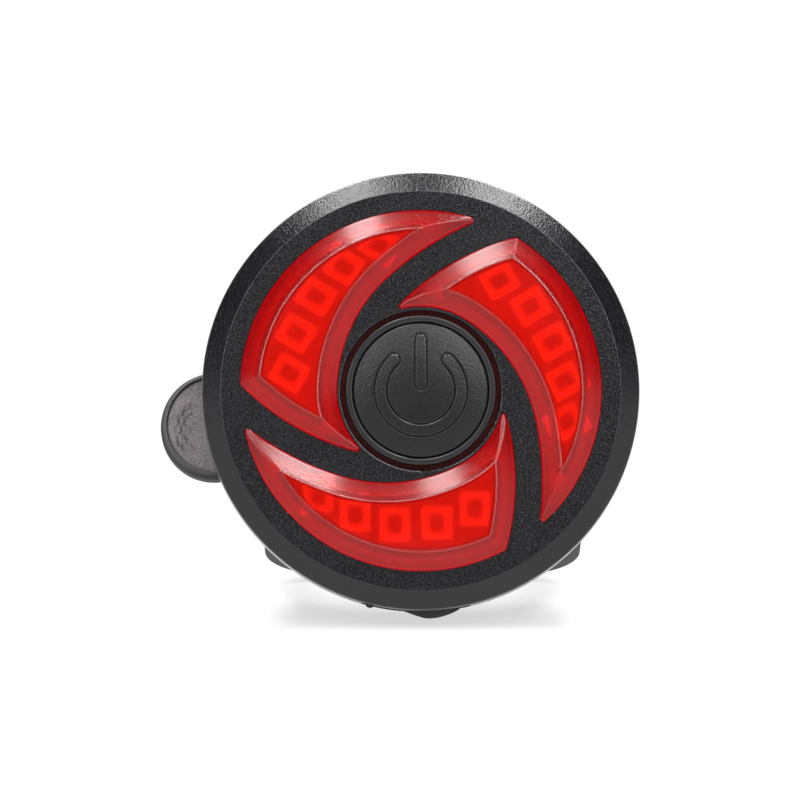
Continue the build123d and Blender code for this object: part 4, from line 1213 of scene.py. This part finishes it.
RING_LIGHT = 6.8          # an arc of soft light in front, 30 to 46 degrees off the axis
world = bpy.data.worlds.new("studio")
bpy.context.scene.world = world
world.use_nodes = True
wn = world.node_tree
wn.nodes.clear()
w_out = wn.nodes.new("ShaderNodeOutputWorld")
w_mix = wn.nodes.new("ShaderNodeMixShader")
w_seen = wn.nodes.new("ShaderNodeBackground")
w_lit = wn.nodes.new("ShaderNodeBackground")
w_path = wn.nodes.new("ShaderNodeLightPath")
w_seen.inputs[0].default_value = (1, 1, 1, 1)
w_seen.inputs[1].default_value = 1.02
w_lit.inputs[1].default_value = 1.0
w_co = wn.nodes.new("ShaderNodeTexCoord")
w_xyz = wn.nodes.new("ShaderNodeSeparateXYZ")
w_ramp = wn.nodes.new("ShaderNodeValToRGB")
w_half = wn.nodes.new("ShaderNodeMath")
w_half.operation = "MULTIPLY_ADD"
w_half.inputs[1].default_value = 0.5
w_half.inputs[2].default_value = 0.5
wn.links.new(w_co.outputs["Generated"], w_xyz.inputs[0])
wn.links.new(w_xyz.outputs[1], w_half.inputs[0])
wn.links.new(w_half.outputs[0], w_ramp.inputs[0])
e = w_ramp.color_ramp.elements
e[0].position, e[0].color = 0.45, (0.05, 0.05, 0.053, 1)
e[1].position, e[1].color = 0.85, (0.60, 0.60, 0.60, 1)
x = e.new(0.60)
x.color = (0.09, 0.09, 0.095, 1)
wn.links.new(w_ramp.outputs[0], w_lit.inputs[0])
w_ring = wn.nodes.new("ShaderNodeValToRGB")
for k, (pos, value) in enumerate(((0.060, 0), (0.075, 1), (0.140, 1), (0.165, 0))):
    stop = w_ring.color_ramp.elements[k] if k < 2 else w_ring.color_ramp.elements.new(pos)
    stop.position = pos
    stop.color = (value, value, value, 1)
w_high = wn.nodes.new("ShaderNodeMapRange")
w_high.interpolation_type = "SMOOTHSTEP"
for k, value in enumerate((-0.16, 0.04, 0.0, RING_LIGHT)):
    w_high.inputs[1 + k].default_value = value
w_prod = wn.nodes.new("ShaderNodeMath")
w_prod.operation = "MULTIPLY"
w_soft = wn.nodes.new("ShaderNodeBackground")
w_add = wn.nodes.new("ShaderNodeAddShader")
wn.links.new(w_half.outputs[0], w_ring.inputs[0])
wn.links.new(w_xyz.outputs[2], w_high.inputs[0])
wn.links.new(w_ring.outputs[0], w_prod.inputs[0])
wn.links.new(w_high.outputs[0], w_prod.inputs[1])
# the white sweep behind the floor, just above the horizon at the sides
w_side = wn.nodes.new("ShaderNodeMapRange")
for k, value in enumerate((0.16, 0.24, 0.0, 1.0)):
    w_side.inputs[1 + k].default_value = value
w_low = wn.nodes.new("ShaderNodeMapRange")
w_low.interpolation_type = "SMOOTHSTEP"
for k, value in enumerate((0.02, 0.17, 1.0, 0.0)):
    w_low.inputs[1 + k].default_value = value
w_sweep = wn.nodes.new("ShaderNodeMath")
w_sweep.operation = "MULTIPLY"
w_sum = wn.nodes.new("ShaderNodeMath")
w_sum.operation = "ADD"
wn.links.new(w_half.outputs[0], w_side.inputs[0])
wn.links.new(w_xyz.outputs[2], w_low.inputs[0])
wn.links.new(w_side.outputs[0], w_sweep.inputs[0])
wn.links.new(w_low.outputs[0], w_sweep.inputs[1])
wn.links.new(w_prod.outputs[0], w_sum.inputs[0])
wn.links.new(w_sweep.outputs[0], w_sum.inputs[1])
wn.links.new(w_sum.outputs[0], w_soft.inputs[1])
wn.links.new(w_lit.outputs[0], w_add.inputs[0])
wn.links.new(w_soft.outputs[0], w_add.inputs[1])
wn.links.new(w_path.outputs["Is Camera Ray"], w_mix.inputs[0])
wn.links.new(w_add.outputs[0], w_mix.inputs[1])
wn.links.new(w_seen.outputs[0], w_mix.inputs[2])
wn.links.new(w_mix.outputs[0], w_out.inputs[0])

scene = bpy.context.scene
scene.view_settings.view_transform = "Standard"
scene.view_settings.look = "None"
scene.view_settings.exposure = 0.0
scene.view_settings.gamma = 1.0

EL = math.radians(3.0)
DIST = 0.600
cam_data = bpy.data.cameras.new("photo_camera")
cam_data.sensor_width = 36.0
cam_data.lens = 36.0 * 600.0 / (800 * PX)
cam_data.clip_start, cam_data.clip_end = 0.05, 10.0
cam = bpy.data.objects.new("photo_camera", cam_data)
look = Vector((0, math.cos(EL), math.sin(EL)))
up = Vector((0, -math.sin(EL), math.cos(EL)))
right = Vector((1, 0, 0))
target = Vector((0, FACE_Y * MM, 0)) - right * (20.75 * PX * MM) - up * (9.8 * PX * MM)
cam.location = target - look * DIST
cam.rotation_mode = "QUATERNION"
cam.rotation_quaternion = look.to_track_quat("-Z", "Y")
bpy.context.scene.collection.objects.link(cam)
scene.camera = cam
